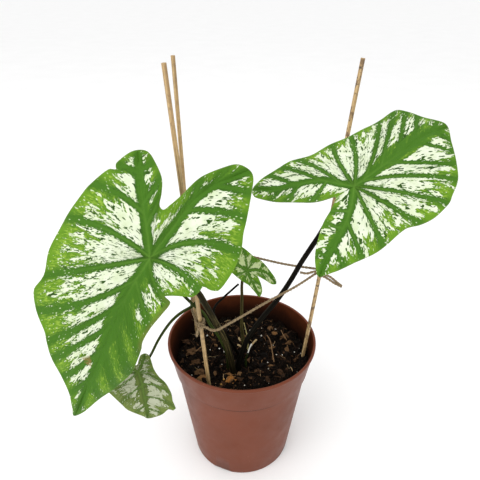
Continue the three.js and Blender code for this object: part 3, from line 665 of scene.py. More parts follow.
LEAF_RIGHT = dict(
    seat=(70.4, -27.1, 257), normal=(-0.24, -0.501, 0.831), along=(0.842, 0.319, 0.436),
    camber=(0.0022, 0.001, 0.0016), fold=0, quilt=1, wave=1.2, rim=2.8, band=1.7, rib=2.9,
    seed=11, breakup=0.75,
    ribs=dict(
        mid=[(0, 0), (1, 14), (3, 36), (6, 60), (3.5, 76)],
        right=[(0, 0), (8, -6), (17, -12), (25, -24), (33, -38), (47, -50.5)],
        left=[(0, 0), (-9, -8), (-17, -18), (-23, -28), (-28, -39), (-36, -52)],
    ),
    mid_right=[(0, 37.6, 24.3, 1, 2.5, 0.1, 0.98), (0.1, 36.4, 39.5, 0, 2, 0.1, 0.97),
               (0.15, 37, 47, 1, 3, 0.15, 0.93), (0.35, 37.3, 60.5, 1, 0, 0.25, 0.93),
               (0.5, 31.5, 65.5, 1, 0, 0.3, 0.95), (0.65, 24.5, 69.8, 1, 0, 0.5, 0.95),
               (0.85, 12.5, 74, 1, 0, 0.6, 0.95)],
    right_fan=[(0, 39.1, 10.3, 1, -1.5, 0.08, 0.98)],
    right_outer=[(0, 41.5, -3, 0, 0, 0.05, 0.99), (0.15, 45.5, -14, 1, 1, 0.05, 0.97),
                 (0.25, 47.4, -19, 0, 0, 0.06, 0.97), (0.4, 48.6, -26, 1, 0, 0.1, 0.85),
                 (0.65, 49, -36, 1, 0, 0.15, 0.8), (0.85, 48.8, -44, 0, 0, 0.3, 0.85)],
    right_inner=[(0, 1.6, -15, 0, 0, 0.15, 0.8), (0.35, 7.7, -27, 1, 0, 0.15, 0.8),
                 (0.6, 19.7, -39.4, 1, 0, 0.2, 0.75), (0.75, 28.3, -46.5, 1, 0, 0.25, 0.75),
                 (0.95, 40, -53, 0, 0, 0.3, 0.7)],
    sinus=[(0, 0, -14, 0, 0, 0.3, 0.8)],
    left_inner=[(0, -1.6, -15.5, 0, 0, 0.2, 0.8), (0.3, -5.2, -21.8, 1, 0, 0.25, 0.8),
                (0.5, -9.5, -30, 1, 0, 0.3, 0.75), (0.65, -16.6, -39, 0, 0, 0.35, 0.7),
                (0.8, -23.4, -46.1, 1, 0, 0.35, 0.75), (0.95, -31, -50.8, 0, 0, 0.4, 0.7)],
    left_outer=[(0, -43.3, -11, 1, 0, 0.05, 0.95), (0.25, -43.4, -18.4, 0, 0, 0.05, 0.92),
                (0.4, -42.4, -25, 1, 0, 0.08, 0.88), (0.6, -41, -31, 0, 0, 0.12, 0.85),
                (0.7, -40, -37, 1, 0, 0.15, 0.85), (0.85, -39, -43, 0, 0, 0.2, 0.8)],
    left_fan=[(0, -42, 4, 0, 0, 0.05, 0.92), (0, -42.6, 9, 0, 0, 0.05, 0.95),
              (0, -44.3, 15, 1, 0, 0.05, 0.96), (0, -45.2, 25.3, 0, 0, 0.06, 0.95),
              (0, -42.6, 37, 1, -1, 0.08, 0.92)],
    mid_left=[(0, -39, 43, 0, -2, 0.08, 0.92), (0.1, -33, 52.3, 1, -3, 0.1, 0.97),
              (0.4, -23.5, 59.5, 1, 0, 0.2, 0.97), (0.65, -14.5, 65.3, 1, 0, 0.3, 0.95),
              (0.85, -8, 69.2, 1, 0, 0.5, 0.95)],
)
LEAF_MIDDLE = dict(
    seat=(4.1, -3.2, 179.3), normal=(0.1, -0.75, 0.65), along=(-0.86, 0.17, 0.45),
    camber=(0.006, 0.003, 0.004), fold=0, quilt=0.5, wave=0.5, rim=1.1, band=0.7, rib=1.1,
    seed=23, breakup=0.8,
    ribs=dict(
        mid=[(0, 0), (-0.5, 9), (-2, 19), (-3, 27)],
        right=[(0, 0), (4, -4.5), (8, -10), (12.8, -16.8)],
        left=[(0, 0), (-4, -6), (-5.5, -14), (-2, -23.8)],
    ),
    mid_right=[(0, 7.6, 6, 1), (0.3, 6, 12, 1), (0.65, 3.2, 18.5, 1)],
    right_fan=[(0, 8.3, 2.5)],
    right_outer=[(0, 8.9, -1.5, 1), (0.4, 9.2, -6, 1), (0.75, 11, -11.5)],
    right_inner=[(0, 1.2, -10.2), (0.45, 4.6, -14.2, 1), (0.8, 8.6, -17)],
    sinus=[(0, 0.2, -8.6)],
    left_inner=[(0, -0.2, -9.8), (0.45, -0.2, -15.5, 1), (0.85, 0, -20.8)],
    left_outer=[(0, -11.9, -0.5, 1), (0.3, -12, -4.5), (0.45, -11, -8.8, 1), (0.7, -8.4, -14.8, 1),
                (0.9, -5.4, -21)],
    left_fan=[(0, -13.2, 5)],
    mid_left=[(0, -14.2, 10, 1), (0.3, -14.2, 15, 1), (0.6, -11, 20.8, 1), (0.85, -6.5, 25)],
)
LEAF_LOW = dict(
    seat=(-77.2, -40.2, 113.9), normal=(-0.1, -0.9, 0.42), along=(0.199, -0.432, -0.879),
    camber=(0.004, 0.001, 0.003), fold=0, quilt=0.8, wave=0.6, rim=1.4, band=0.6, rib=1.1,
    seed=37, breakup=1,
    ribs=dict(
        mid=[(0, 0), (0.9, 9.6), (0.5, 19.6), (0.7, 27.5), (-0.7, 36.4)],
        right=[(0, 0), (3, -4), (6, -8.5), (8, -12.5)],
        left=[(0, 0), (-6, -4), (-12, -7), (-17.5, -9.8)],
    ),
    mid_right=[(0, 18.2, 12.4, 1, -1.5), (0.25, 20.7, 21, 1, -2.5), (0.42, 20.6, 27),
               (0.5, 21.6, 32.6, 1, -3), (0.55, 18.9, 33.8), (0.62, 16.4, 32), (0.8, 10.5, 35.3, 1, -1),
               (0.92, 4.8, 36.3)],
    right_fan=[(0, 14.5, 6.5)],
    right_outer=[(0, 12.2, 0.4, 1), (0.45, 11.5, -5, 1), (0.8, 10.6, -10)],
    right_inner=[(0, 1.2, -6.2), (0.45, 2.7, -9.2, 1), (0.85, 4.6, -12)],
    sinus=[(0, 0, -5.2)],
    left_inner=[(0, -1.5, -5.5), (0.45, -6.5, -8.3, 1), (0.85, -12.5, -10.3)],
    left_outer=[(0, -27, 0, 1), (0.5, -25.5, -5, 1), (0.85, -21.5, -8.8)],
    left_fan=[(0, -28.3, 5)],
    mid_left=[(0, -27.2, 11.5, 1, -1.5), (0.2, -23.6, 16.4, 0, 0, 0.2, 0.7),
              (0.3, -18.6, 22.8, 1, 1.5, 0.2, 0.65), (0.55, -15, 27.4, 0, 0, 0.25, 0.6),
              (0.7, -9.4, 30.8, 1, 0.5, 0.3, 0.6), (0.9, -3.6, 34.2, 0, 0, 0.4, 0.5)],
)
BLADE = dict(thick=0.7, fold_width=16, fold_edge=44, fold_taper=0.22, fold_start=40)
SIDES = [("mid_right", "mid", False), ("right_fan", None, True), ("right_outer", "right", True),
         ("right_inner", "right", False), ("sinus", None, True), ("left_inner", "left", True),
         ("left_outer", "left", False), ("left_fan", None, True), ("mid_left", "mid", True)]


def filled(row):
    """A row with the plain values for what it leaves out."""
    return tuple(row) + PLAIN[len(row) - 3:]


def walk_round(leaf, stations, fan_steps):
    """Goes once round the margin from the tip: the margin's rows, and for each line of the blade the
    rib that it leaves, the share of that rib and its place among the rows."""
    tip = [(1, *leaf["ribs"]["mid"][-1], 1, 0, 0.6, 0.4)]
    rows, lines = list(tip), []
    for name, rib, rising in SIDES:
        side = [filled(row) for row in (leaf[name] if rising else reversed(leaf[name]))]
        first = len(rows)
        rows += side
        if rib is None:
            for i in range(first - 1, len(rows)):
                start = 0 if i > first - 1 else 1
                lines += [("mid", 0, i + k / fan_steps) for k in range(start, fan_steps)]
            continue
        end = len(rows) if rising else first - 1
        marks = [(row[0], first + k) for k, row in enumerate(side)]
        marks = marks + [(1, end)] if rising else [(1, end)] + marks
        shares = [k / stations for k in range(stations)]
        for share in shares if rising else reversed(shares):
            for (a, i), (b, j) in zip(marks, marks[1:]):
                if min(a, b) - 1e-9 <= share <= max(a, b) + 1e-9:
                    lines.append((rib, share, i + (share - a) / (b - a)))
                    break
        if rising:
            lines.append((rib, 1, end))
            if rib != "mid":
                rows.append((1, *leaf["ribs"][rib][-1], 1, 0, 0.6, 0.5))
    return rows, lines


def blade_height(leaf, x, y):
    """How far the blade stands off its plane: camber both ways, and a turned-back right edge."""
    across, tipward, backward = leaf["camber"]
    start = np.clip(y / BLADE["fold_start"], 0, 1)
    start = start * start * (3 - 2 * start)
    edge = BLADE["fold_edge"] - BLADE["fold_taper"] * y - BLADE["fold_width"]
    fold = leaf["fold"] * start * np.maximum(0, x - edge) ** 2
    return -across * x * x - np.where(y > 0, tipward, backward) * y * y - fold


def away_from(points, line):
    """Each point's distance from a line of points, and where along the line that is."""
    best = np.full(len(points), 1e9)
    where = np.zeros(len(points))
    for k, (a, b) in enumerate(zip(line, line[1:])):
        edge = b - a
        share = np.clip((points - a) @ edge / max(1e-9, edge @ edge), 0, 1)
        gap = np.linalg.norm(points - a - share[:, None] * edge, axis=1)
        near = gap < best
        best[near] = gap[near]
        where[near] = (k + share[near]) / (len(line) - 1)
    return best, where


def bowed(start, end, bow, share):
    """A point on a line from a rib to the margin that bows to one side."""
    across = (end - start)[::-1] * (-1, 1)
    length = max(1e-6, np.linalg.norm(across))
    return start + (end - start) * share + across / length * bow * 4 * share * (1 - share)


def blade(name, leaf, node_name, slot, finishes, stations, fan_steps, rows):
    """A blade: one grid wrapped over both faces from the ribs to the margin and closed round it."""
    margin, lines = walk_round(leaf, stations, fan_steps)
    marks = np.array(margin, float)
    edge_at = curve_through(marks[:, 1:3], closed=True, even=True)
    rib_at = {rib: curve_through(points, even=True) for rib, points in leaf["ribs"].items()}
    veins = [i for i, row in enumerate(margin) if row[3]]
    wrapped = np.vstack([marks, marks[:1]])
    count = len(lines)
    starts = np.array([rib_at[rib](share) for rib, share, at in lines])
    ends = np.array([edge_at(at / len(margin)) for rib, share, at in lines])
    at = np.array([line[2] for line in lines])
    bow, pale_from, pale_to = [np.interp(at, np.arange(len(wrapped)), wrapped[:, k]) for k in (4, 5, 6)]
    between = []
    for value in at:
        before = max(v for v in veins if v <= value + 1e-6)
        after = min([v for v in veins if v > value + 1e-6] + [len(margin)])
        between.append((value - before) / (after - before))
    between = np.array(between)
    run = np.concatenate([[0], np.cumsum(np.linalg.norm(np.diff(ends, axis=0), axis=1))])

    bm = bmesh.new()
    depth = 2 * rows + 1
    bmesh.ops.create_grid(bm, x_segments=count, y_segments=depth, size=0.5)
    bm.verts.ensure_lookup_table()
    spots = np.array([vert.co[:2] for vert in bm.verts])
    column = np.rint((spots[:, 0] + 0.5) * count).astype(int)
    line = np.rint((spots[:, 1] + 0.5) * depth).astype(int)
    seam = column == count
    column[seam] = 0
    face = np.where(line <= rows, 1, -1)
    out = np.where(face > 0, line, depth - line) / rows
    flat = np.array([bowed(starts[c], ends[c], bow[c], o) for c, o in zip(column, out)])
    x, y = flat[:, 0], flat[:, 1]

    # The finish is painted by how far each point lies from the edge of a green band (gap), from a vein,
    # from the margin (rim) and into the white zone (pale), all in millimetres.
    gap = np.full(len(flat), 1e9)
    vein = np.full(len(flat), 1e9)
    for rib, at_share in rib_at.items():
        middle = np.array([at_share(k / 40) for k in range(41)])
        away, where = away_from(flat, middle)
        gap = np.minimum(gap, away - leaf["rib"] * (1 - 0.25 * where))
        vein = np.minimum(vein, away)
    for i in veins:
        near = int(np.argmin(np.abs(at - i)))
        middle = np.array([bowed(starts[near], ends[near], bow[near], k / 14) for k in range(15)])
        away, where = away_from(flat, middle)
        gap = np.minimum(gap, away - leaf["band"] * (0.75 + 0.3 * where))
        vein = np.minimum(vein, away)
    hem = np.array([edge_at(k / 360) for k in range(361)])
    rim = away_from(flat, hem)[0]
    length = np.linalg.norm(ends - starts, axis=1)[column]
    pale = np.minimum(rim - leaf["rim"], (out - pale_from[column]) * length)
    pale = np.minimum(pale, (pale_to[column] - out) * length * 0.8)

    normal = np.array(leaf["normal"]) / np.linalg.norm(leaf["normal"])
    tip = np.array(leaf["along"]) - normal * np.dot(leaf["along"], normal)
    tip /= np.linalg.norm(tip)
    side = np.cross(normal, tip)
    swell = leaf["quilt"] * np.sin(np.pi * between[column]) ** 2 * 4 * out * (1 - out)
    wave = leaf["wave"] * out**3 * np.sin(0.16 * (x - y)) * np.cos(0.07 * (x + y))
    groove = -0.35 * np.exp(-((vein / 1.1) ** 2)) * (1 - out)
    step = 0.5
    slope_x = (blade_height(leaf, x + step, y) - blade_height(leaf, x - step, y)) / (2 * step)
    slope_y = (blade_height(leaf, x, y + step) - blade_height(leaf, x, y - step)) / (2 * step)
    facing = normal - slope_x[:, None] * side - slope_y[:, None] * tip
    facing /= np.linalg.norm(facing, axis=1)[:, None]
    ridge = 0.5 * np.exp(-((vein / 0.9) ** 2)) * (1 - out)
    lift = np.where(face > 0, BLADE["thick"] / 2 + groove, -BLADE["thick"] / 2 - ridge)
    place = np.array(leaf["seat"]) + x[:, None] * side + y[:, None] * tip
    place += (blade_height(leaf, x, y) + swell + wave)[:, None] * normal + lift[:, None] * facing

    tissue = bm.verts.layers.float_vector.new("tissue")
    growth = bm.verts.layers.float_vector.new("growth")
    uv = bm.loops.layers.uv.new("flow")
    across = np.where(seam, run[-1] + np.linalg.norm(ends[0] - ends[-1]), run[column])
    for k, vert in enumerate(bm.verts):
        vert.co = place[k] * MM
        vert[tissue] = (gap[k], vein[k], rim[k])
        vert[growth] = (out[k], pale[k], math.hypot(x[k], y[k]))
    for each in bm.faces:
        each.material_index = 0 if all(line[loop.vert.index] <= rows for loop in each.loops) else 1
        for loop in each.loops:
            k = loop.vert.index
            loop[uv].uv = (across[k] * 0.1, out[k] * length[k] * 0.1)
    bmesh.ops.remove_doubles(bm, verts=bm.verts, dist=2e-6)
    made = piece(name, bm, finishes, slot, sharp=50)
    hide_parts(node_name)


def attribute(tree, name):
    """A vector that the mesh keeps at each of its points."""
    return node(tree, "Attribute", attribute_name=name).outputs["Vector"]


def past(tree, value, start, gain):
    """A mask that rises from 0 where a value passes its start, by the gain for each unit, up to 1."""
    return maths(tree, "MULTIPLY", maths(tree, "SUBTRACT", value, start), gain, clamp=True)


def variegation():
    """The pattern that all blades share: where each spot of tissue is white, dark or lime."""
    group = bpy.data.node_groups.new("variegation", "ShaderNodeTree")
    for name in ("Seed", "Break-up", "Flecks"):
        group.interface.new_socket(name, in_out="INPUT", socket_type="NodeSocketFloat")
    values = group.nodes.new("NodeGroupInput").outputs
    gap, vein, rim = split(group, attribute(group, "tissue"))
    out, pale, seat = split(group, attribute(group, "growth"))
    flow = node(group, "UVMap", uv_map="flow").outputs[0]
    shift = node(group, "CombineXYZ", {0: values["Seed"], 1: values["Seed"]}).outputs[0]
    flow = node(group, "VectorMath", {0: flow, 1: shift}, operation="ADD").outputs[0]

    def stretched(stretch):
        """The flow from rib to margin, drawn out along it."""
        return node(group, "Mapping", {"Vector": flow, "Scale": (1, stretch, 1)}).outputs[0]

    def streaks(scale, stretch, detail=2.0, rough=0.5, distort=0.0):
        """Noise from -0.5 to 0.5, in streaks along the flow."""
        sockets = {"Vector": stretched(stretch), "Scale": scale, "Detail": detail, "Roughness": rough,
                   "Distortion": distort}
        wave = node(group, "TexNoise", sockets, noise_dimensions="2D").outputs[0]
        return maths(group, "SUBTRACT", wave, 0.5)

    def dotted(scale, stretch):
        """Scattered dots: the distance to the nearest one and its three random numbers."""
        sockets = {"Vector": stretched(stretch), "Scale": scale}
        dots = node(group, "TexVoronoi", sockets, voronoi_dimensions="2D").outputs
        return dots["Distance"], split(group, dots["Color"])

    def gain(start, rise):
        """How far streaks move an edge in millimetres: more towards the margin."""
        return maths(group, "MULTIPLY", maths(group, "MULTIPLY_ADD", out, rise, start), values["Break-up"])

    # The white keeps off the green bands by a serrated edge. Outward it breaks up: patches and streaks
    # move its end, and green islands take more and more of it.
    beside = maths(group, "MULTIPLY_ADD", streaks(9.0, 0.6, 3, 0.65), gain(3.5, 3.0), gap)
    level = pale
    for wave, reach in (
        (streaks(1.5, 0.55), gain(3.0, 24.0)),
        (streaks(4.2, 0.34, 3, 0.6, 0.3), gain(5.0, 15.0)),
        (streaks(12.0, 0.5, 3, 0.6), gain(4.0, 5.0)),
    ):
        level = maths(group, "MULTIPLY_ADD", wave, reach, level)
    islands = maths(group, "MULTIPLY_ADD", streaks(11.0, 0.5), 0.3, streaks(2.3, 0.45, 4, 0.58, 0.4))
    left = maths(group, "SUBTRACT", maths(group, "MULTIPLY_ADD", out, gain(-0.46, 0.0), 0.32), islands)
    level = maths(group, "MINIMUM", level, maths(group, "MULTIPLY", left, 30.0))
    level = maths(group, "MINIMUM", level, beside)
    white = maths(group, "MULTIPLY", level, 3.0, clamp=True)
    edge = maths(group, "ABSOLUTE", maths(group, "ADD", level, 0.45))

    # Dark cracks follow the net of small veins, and dark specks lie between them.
    sockets = {"Vector": flow, "Scale": 2.4, "Detail": 2.0}
    warp = node(group, "TexNoise", sockets, noise_dimensions="2D").outputs["Color"]
    bent = node(group, "VectorMath", {0: warp, "Scale": 0.5}, operation="SCALE").outputs[0]
    bent = node(group, "VectorMath", {0: stretched(0.55), 1: bent}, operation="ADD").outputs[0]
    net = node(group, "TexVoronoi", {"Vector": bent, "Scale": 1.5}, feature="DISTANCE_TO_EDGE",
               voronoi_dimensions="2D").outputs["Distance"]
    crack = past(group, maths(group, "MULTIPLY_ADD", streaks(3.2, 0.6), 0.5, 0.022), net, 40.0)
    away, lots = dotted(5.0, 0.5)
    speck = past(group, maths(group, "MULTIPLY_ADD", lots[0], 0.6, -0.26), away, 12.0)
    dark = maths(group, "MULTIPLY", maths(group, "MAXIMUM", crack, speck), values["Flecks"])

    # Lime tissue lies beside the white towards the margin, and in dots of its own near the hem.
    lime = maths(group, "MULTIPLY_ADD", out, 0.1, streaks(6.5, 0.4, 5, 0.7, 0.4))
    lime = past(group, lime, 0.075, 9.0)
    lime = maths(group, "MULTIPLY", lime, maths(group, "MULTIPLY_ADD", beside, 0.4, 0.2, clamp=True))
    lime = maths(group, "MULTIPLY", lime, maths(group, "MULTIPLY_ADD", rim, 0.4, -0.6, clamp=True))
    away, lots = dotted(5.2, 0.7)
    dots = past(group, maths(group, "MULTIPLY_ADD", lots[1], 0.9, -0.6), away, 8.0)
    blister = maths(group, "MULTIPLY", net, 3.0, clamp=True)

    results = {
        "White": maths(group, "MULTIPLY", white, maths(group, "SUBTRACT", 1.0, dark)),
        "Dark": maths(group, "MULTIPLY", white, dark),
        "Edge": within(group, edge, 0.8),
        "Lime": lime,
        "Dots": maths(group, "MULTIPLY", dots, past(group, out, 0.45, 3.0)),
        "Vein": maths(group, "MULTIPLY", within(group, vein, 1.15), within(group, seat, 42.0, 1.1)),
        "Rim": within(group, rim, 0.9),
        "Height": maths(group, "MULTIPLY_ADD", blister, 0.8, streaks(14.0, 0.8)),
    }
    for name in results:
        group.interface.new_socket(name, in_out="OUTPUT", socket_type="NodeSocketFloat")
    ends = group.nodes.new("NodeGroupOutput").inputs
    for name, value in results.items():
        group.links.new(value, ends[name])
    return group


pattern = variegation()


def leaf_skin(name, green, deep, lime, white, leaf, rough=0.55, flecks=1.0, scars=(), rolled=None):
    """The finish of one face of a blade in its own greens. Each scar, and the rolled stretch of the hem
    that is tinted with painted shade, is a point and the distance that it reaches, in millimetres."""
    made, tree, shader, place = material(name, Roughness=rough, Specular_IOR_Level=0.12)
    settings = {"Seed": leaf["seed"] * 1.37, "Break-up": leaf["breakup"], "Flecks": flecks}
    marks = node(tree, "Group", settings, node_tree=pattern).outputs
    _, vein, rim = split(tree, attribute(tree, "tissue"))
    inner = past(tree, rim, leaf["rim"] * 0.5, 0.28 / leaf["rim"])
    inner = maths(tree, "MULTIPLY_ADD", inner, 0.4, within(tree, vein, leaf["rib"] * 1.5, 1.3))
    drift = maths(tree, "SUBTRACT", speckle(tree, place, 60, 3), 0.5)
    colour = blend(tree, maths(tree, "ADD", drift, inner, clamp=True), green, deep)
    colour = tint(tree, colour, marks["Edge"], 0.45, linear(30, 62, 12))
    colour = tint(tree, colour, marks["Lime"], 0.75, lime)
    colour = blend(tree, marks["Dots"], colour, blend(tree, 0.6, lime, white))
    chalk = blend(tree, ramp(tree, speckle(tree, place, 150, 3), (0.35, 0.0), (0.75, 1.0)), white, lime)
    colour = blend(tree, marks["White"], colour, blend(tree, 0.35, white, chalk))
    colour = blend(tree, marks["Dark"], colour, blend(tree, 0.6, deep, linear(16, 30, 8)))
    colour = tint(tree, colour, marks["Vein"], 0.4, linear(104, 144, 54))

    def near(spot, radius):
        """1 at a point of the blade, falling to 0 at a radius."""
        centre = [value * MM for value in spot]
        off = node(tree, "VectorMath", {0: place, 1: centre}, operation="DISTANCE").outputs["Value"]
        return maths(tree, "SUBTRACT", 1.0, maths(tree, "DIVIDE", off, radius * MM))

    # Painted shade: the stretch of the margin that rolls back away from the front is tinted a duller
    # olive.
    if rolled:
        *spot, radius = rolled
        stretch = maths(tree, "MULTIPLY", near(spot, radius), 3.0, clamp=True)
        hem = maths(tree, "MULTIPLY", within(tree, rim, 2.2, 1.5), stretch)
        colour = tint(tree, colour, hem, 0.7, linear(98, 108, 46))
    for *spot, radius in scars:
        ragged = maths(tree, "MULTIPLY", maths(tree, "SUBTRACT", speckle(tree, place, 420, 3), 0.5), 2.4)
        scar = maths(tree, "MULTIPLY", maths(tree, "ADD", near(spot, radius), ragged), 3.0, clamp=True)
        colour = tint(tree, colour, scar, 0.65, linear(132, 106, 62))
    paint(tree, shader, tint(tree, colour, marks["Rim"], 0.3, linear(110, 130, 50)))
    relief(tree, shader, marks["Height"], 0.45, 0.9)
    return made


GREEN, DEEP, LIME = linear(94, 136, 27), linear(63, 107, 23), linear(144, 174, 60)
WHITE, CREAM = linear(216, 223, 200), linear(186, 200, 148)
UNDERSIDE = linear(100, 132, 76), linear(80, 116, 62), linear(146, 168, 108), linear(196, 206, 182)
LIMP_FACE = linear(104, 120, 58), linear(78, 96, 42), linear(134, 146, 92), linear(174, 178, 154)
LIMP_BACK = linear(126, 138, 96), linear(106, 120, 76), linear(152, 160, 122), linear(180, 184, 168)
SCARS = [(-101.4, -72.2, 154.6, 3.2), (-100.2, -71.8, 151, 2.2)]
SHADED_ROLLED_HEM = (-54.2, -71, 180, 27)
for name, leaf, steps, white, flecks, scars, rolled in (
    ("blade_big_left", LEAF_LEFT, (44, 6, 30), WHITE, 1.0, SCARS, SHADED_ROLLED_HEM),
    ("blade_right", LEAF_RIGHT, (40, 6, 28), WHITE, 1.0, (), None),
    ("blade_middle", LEAF_MIDDLE, (20, 6, 14), CREAM, 0.5, (), None),
):
    front = leaf_skin(name + "_face", GREEN, DEEP, LIME, white, leaf, 0.55, flecks, scars, rolled)
    under = leaf_skin(name + "_back", *UNDERSIDE, leaf, 0.65, 0.4)
    blade(name + "_skin", leaf, name, "leaf", [front, under], *steps)
front = leaf_skin("blade_low_face", *LIMP_FACE, LEAF_LOW, 0.65, 0.3)
under = leaf_skin("blade_low_back", *LIMP_BACK, LEAF_LOW, 0.7)
blade("blade_low_left_skin", LEAF_LOW, "blade_low_left", "leaf_limp", [front, under], 24, 6, 18)

# Stems
# Four leaf stalks and two stalks that have lost their leaves, fleshy and smooth, dark olive to black
# with paler stripes. They sheathe each other at the foot, where they leave the tuber, and taper upward.
def under_seat(leaf, depth):
    """The point at a depth under a blade's seat, where its stem ends square against it."""
    return tuple(value - depth * part for value, part in zip(leaf["seat"], leaf["normal"]))


STEMS = {
    "petiole_big_left": (2.5, 2, [
        (-6.5, -19.5, 85.8), (-7, -22.5, 97), (-9.3, -27.5, 120), (-11.9, -32, 135.5),
        (-15.1, -37, 149), (-17.4, -41, 158.3), (-23.4, -46, 176.7), (-29.4, -50, 193.2),
        (-38, -54.5, 206), (-47.5, -58, 217.5), under_seat(LEAF_LEFT, 5.5), under_seat(LEAF_LEFT, 0.5)]),
    "petiole_right": (2.2, 1.8, [
        (-1.5, -17.5, 86.3), (-2.8, -19, 100), (0.4, -17.2, 112.5), (4.8, -14.6, 124.7),
        (10.5, -12.4, 134), (16.5, -10.5, 142.3), (27.9, -7.6, 157.7), (35.9, -6.6, 172),
        (43, -8.5, 189.6), (48.1, -14, 204.6), (52.6, -20, 218.5), (57.5, -24.4, 233), (65, -25, 246),
        under_seat(LEAF_RIGHT, 5), under_seat(LEAF_RIGHT, 0.5)]),
    "petiole_middle": (1.8, 1.1, [
        (0.5, -5, 85.4), (2, 1.5, 96), (1.3, 4, 107), (0, 2.5, 122.4), (0.1, 1, 149.7), (0.1, 1, 165.5),
        (1.2, 1.6, 171.2), under_seat(LEAF_MIDDLE, 4), under_seat(LEAF_MIDDLE, 0.4)]),
    "petiole_low_left": (1.5, 1, [
        (-9.5, -11, 86), (-10.2, -14, 100), (-10.7, -18.5, 118), (-15.1, -22, 134.8),
        (-20.1, -24.5, 146.8), (-24.9, -25, 158.5), (-28.4, -27, 167), (-30.7, -28, 169.5),
        (-33, -29.5, 168.8), (-36.4, -31.2, 166.5), (-43.2, -32.3, 162.5), (-50.5, -32.6, 155.4),
        (-60.8, -31.5, 138.6), (-69, -30.2, 121.1), (-74, -32, 113.8), under_seat(LEAF_LOW, 4),
        under_seat(LEAF_LOW, 0.4)]),
    "stalk_left": (1.5, 1.1, [
        (-10.8, -15.5, 85.6), (-10.9, -17, 98), (-11, -20, 112), (-14.3, -25, 127.5),
        (-18.4, -30, 141.8), (-22.3, -33, 151.5), (-28, -33.8, 164.2), (-33.6, -33.8, 169.8),
        (-38.9, -34, 176.5), (-45.9, -35, 186.6)]),
    "stalk_back": (1.4, 0.8, [
        (-4.2, -8.5, 86.8), (-2.2, -5, 97.6), (-5.6, -7, 108.2), (-9.4, -10, 118.9),
        (-15.3, -15, 134.9), (-20.4, -19.4, 149), (-21, -18.5, 154.3), (-19.4, -15, 156.4),
        (-14, -9, 159), (-8.3, -4, 161.9), (-2.5, 0, 165.3)]),
    "sheath_pale": (1.3, 0.35, [(6, -2.5, 86), (5, 3.2, 101), (4.6, 4.8, 109), (1.8, 5.6, 123.8)]),
    "sheath_green": (1.9, 0.7, [
        (3.2, -13.5, 86.5), (3.3, -13.5, 98), (3.4, -12.6, 102), (4.6, -12, 105.7)]),
}


def stem_skin(name, dark, body, light, rough=0.55, darkening=42):
    """Smooth stem tissue with stripes that run along it, darker over its first stretch from the foot."""
    made, tree, shader, place = material(name, Roughness=rough, Specular_IOR_Level=0.04)
    strand = attribute(tree, "strand")
    stripe = speckle(tree, strand, 2.2, 3, 0.6, stretch=(1, 1, 0.016))
    fleck = speckle(tree, strand, 6, 2, 0.6, stretch=(1, 1, 0.12))
    mixed = maths(tree, "MULTIPLY_ADD", maths(tree, "SUBTRACT", fleck, 0.5), 0.3, stripe)
    colour = ramp(tree, mixed, (0.34, dark), (0.52, body), (0.68, light))
    foot = within(tree, split(tree, strand)[2], darkening, 1.4)
    paint(tree, shader, tint(tree, colour, foot, 0.85, dark))
    relief(tree, shader, stripe, 0.25, 0.7)
    return made


OLIVE = stem_skin("stem_olive", linear(13, 11, 6), linear(42, 37, 19), linear(98, 88, 56))
TAN = stem_skin("stem_tan", linear(34, 30, 14), linear(66, 60, 32), linear(104, 96, 60), darkening=12)
BLACK = stem_skin("stem_black", linear(7, 6, 4), linear(14, 12, 8), linear(34, 30, 20))
FRESH = stem_skin("stem_green", linear(26, 34, 11), linear(50, 62, 24), linear(84, 98, 44))
DRY = stem_skin("stem_dry", linear(150, 138, 80), linear(184, 172, 112), linear(208, 200, 150), 0.6, darkening=1)
FINISHES = {
    "petiole_big_left": (OLIVE, "petiole_dark"), "petiole_right": (BLACK, "petiole_dark"),
    "petiole_middle": (TAN, "petiole_dark"), "petiole_low_left": (FRESH, "petiole_green"),
    "stalk_left": (FRESH, "petiole_green"), "stalk_back": (BLACK, "petiole_dark"),
    "sheath_pale": (DRY, "sheath_dry"), "sheath_green": (FRESH, "petiole_green"),
}


def channel(turn):
    """The section of a stem: round, with a shallow groove along one side."""
    return 1 - 0.13 * math.exp(-((math.remainder(turn - 1.2, math.tau) / 0.45) ** 2))


for name, (foot, head, path) in STEMS.items():
    stem = bmesh.new()
    swept(stem, path, lambda share: head + (foot - head) * (1 - share) ** 1.6, 18, 1.5, section=channel)
    finish, slot = FINISHES[name]
    made = piece(name + "_stem", stem, finish, slot, sharp=70)
    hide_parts(name)

# Stakes
# Bamboo skewers, split and rolled round on a machine, pushed into the soil with their points down and cut
# square at the top. The grain runs along them, and the right one is stained by damp more heavily than the
# others.
STAKES = {
    "stake_front_left": [(-20.3, -37.2, 35), (-25, -37.5, 98), (-42.5, -37.5, 333)],
    "stake_back_left": [(-35.2, 22.6, 30), (-39, 25.4, 97), (-45.4, 25.5, 327.5)],
    "stake_right": [(41.2, -11, 36.5), (50.2, -5, 99), (78.5, 22, 326.5)],
}
STAKE = dict(radius=1.5, point=7, length=300)


def bamboo(name, stain):
    """Split bamboo: fine straight grain, darker fibre bundles and damp stains, as strong as stain says."""
    made, tree, shader, place = material(name, Roughness=0.55)
    strand = attribute(tree, "strand")
    grain = speckle(tree, strand, 5, 4, 0.6, stretch=(1, 1, 0.006))
    bundle = speckle(tree, strand, 1.6, 2, 0.5, stretch=(1, 1, 0.012))
    colour = ramp(tree, grain, (0.3, linear(140, 108, 66)), (0.5, linear(180, 150, 102)),
                  (0.72, linear(204, 180, 136)))
    colour = blend(tree, ramp(tree, bundle, (0.5, 0.0), (0.62, 0.6)), colour, linear(124, 92, 52))
    blot = ramp(tree, speckle(tree, place, 210, 4, 0.65), (0.5, 0.0), (0.6, stain))
    colour = blend(tree, blot, colour, linear(98, 74, 48))
    spot = ramp(tree, speckle(tree, place, 330, 3, 0.6), (0.6, 0.0), (0.65, stain))
    paint(tree, shader, blend(tree, spot, colour, linear(48, 36, 26)))
    relief(tree, shader, grain, 0.2)
    return made


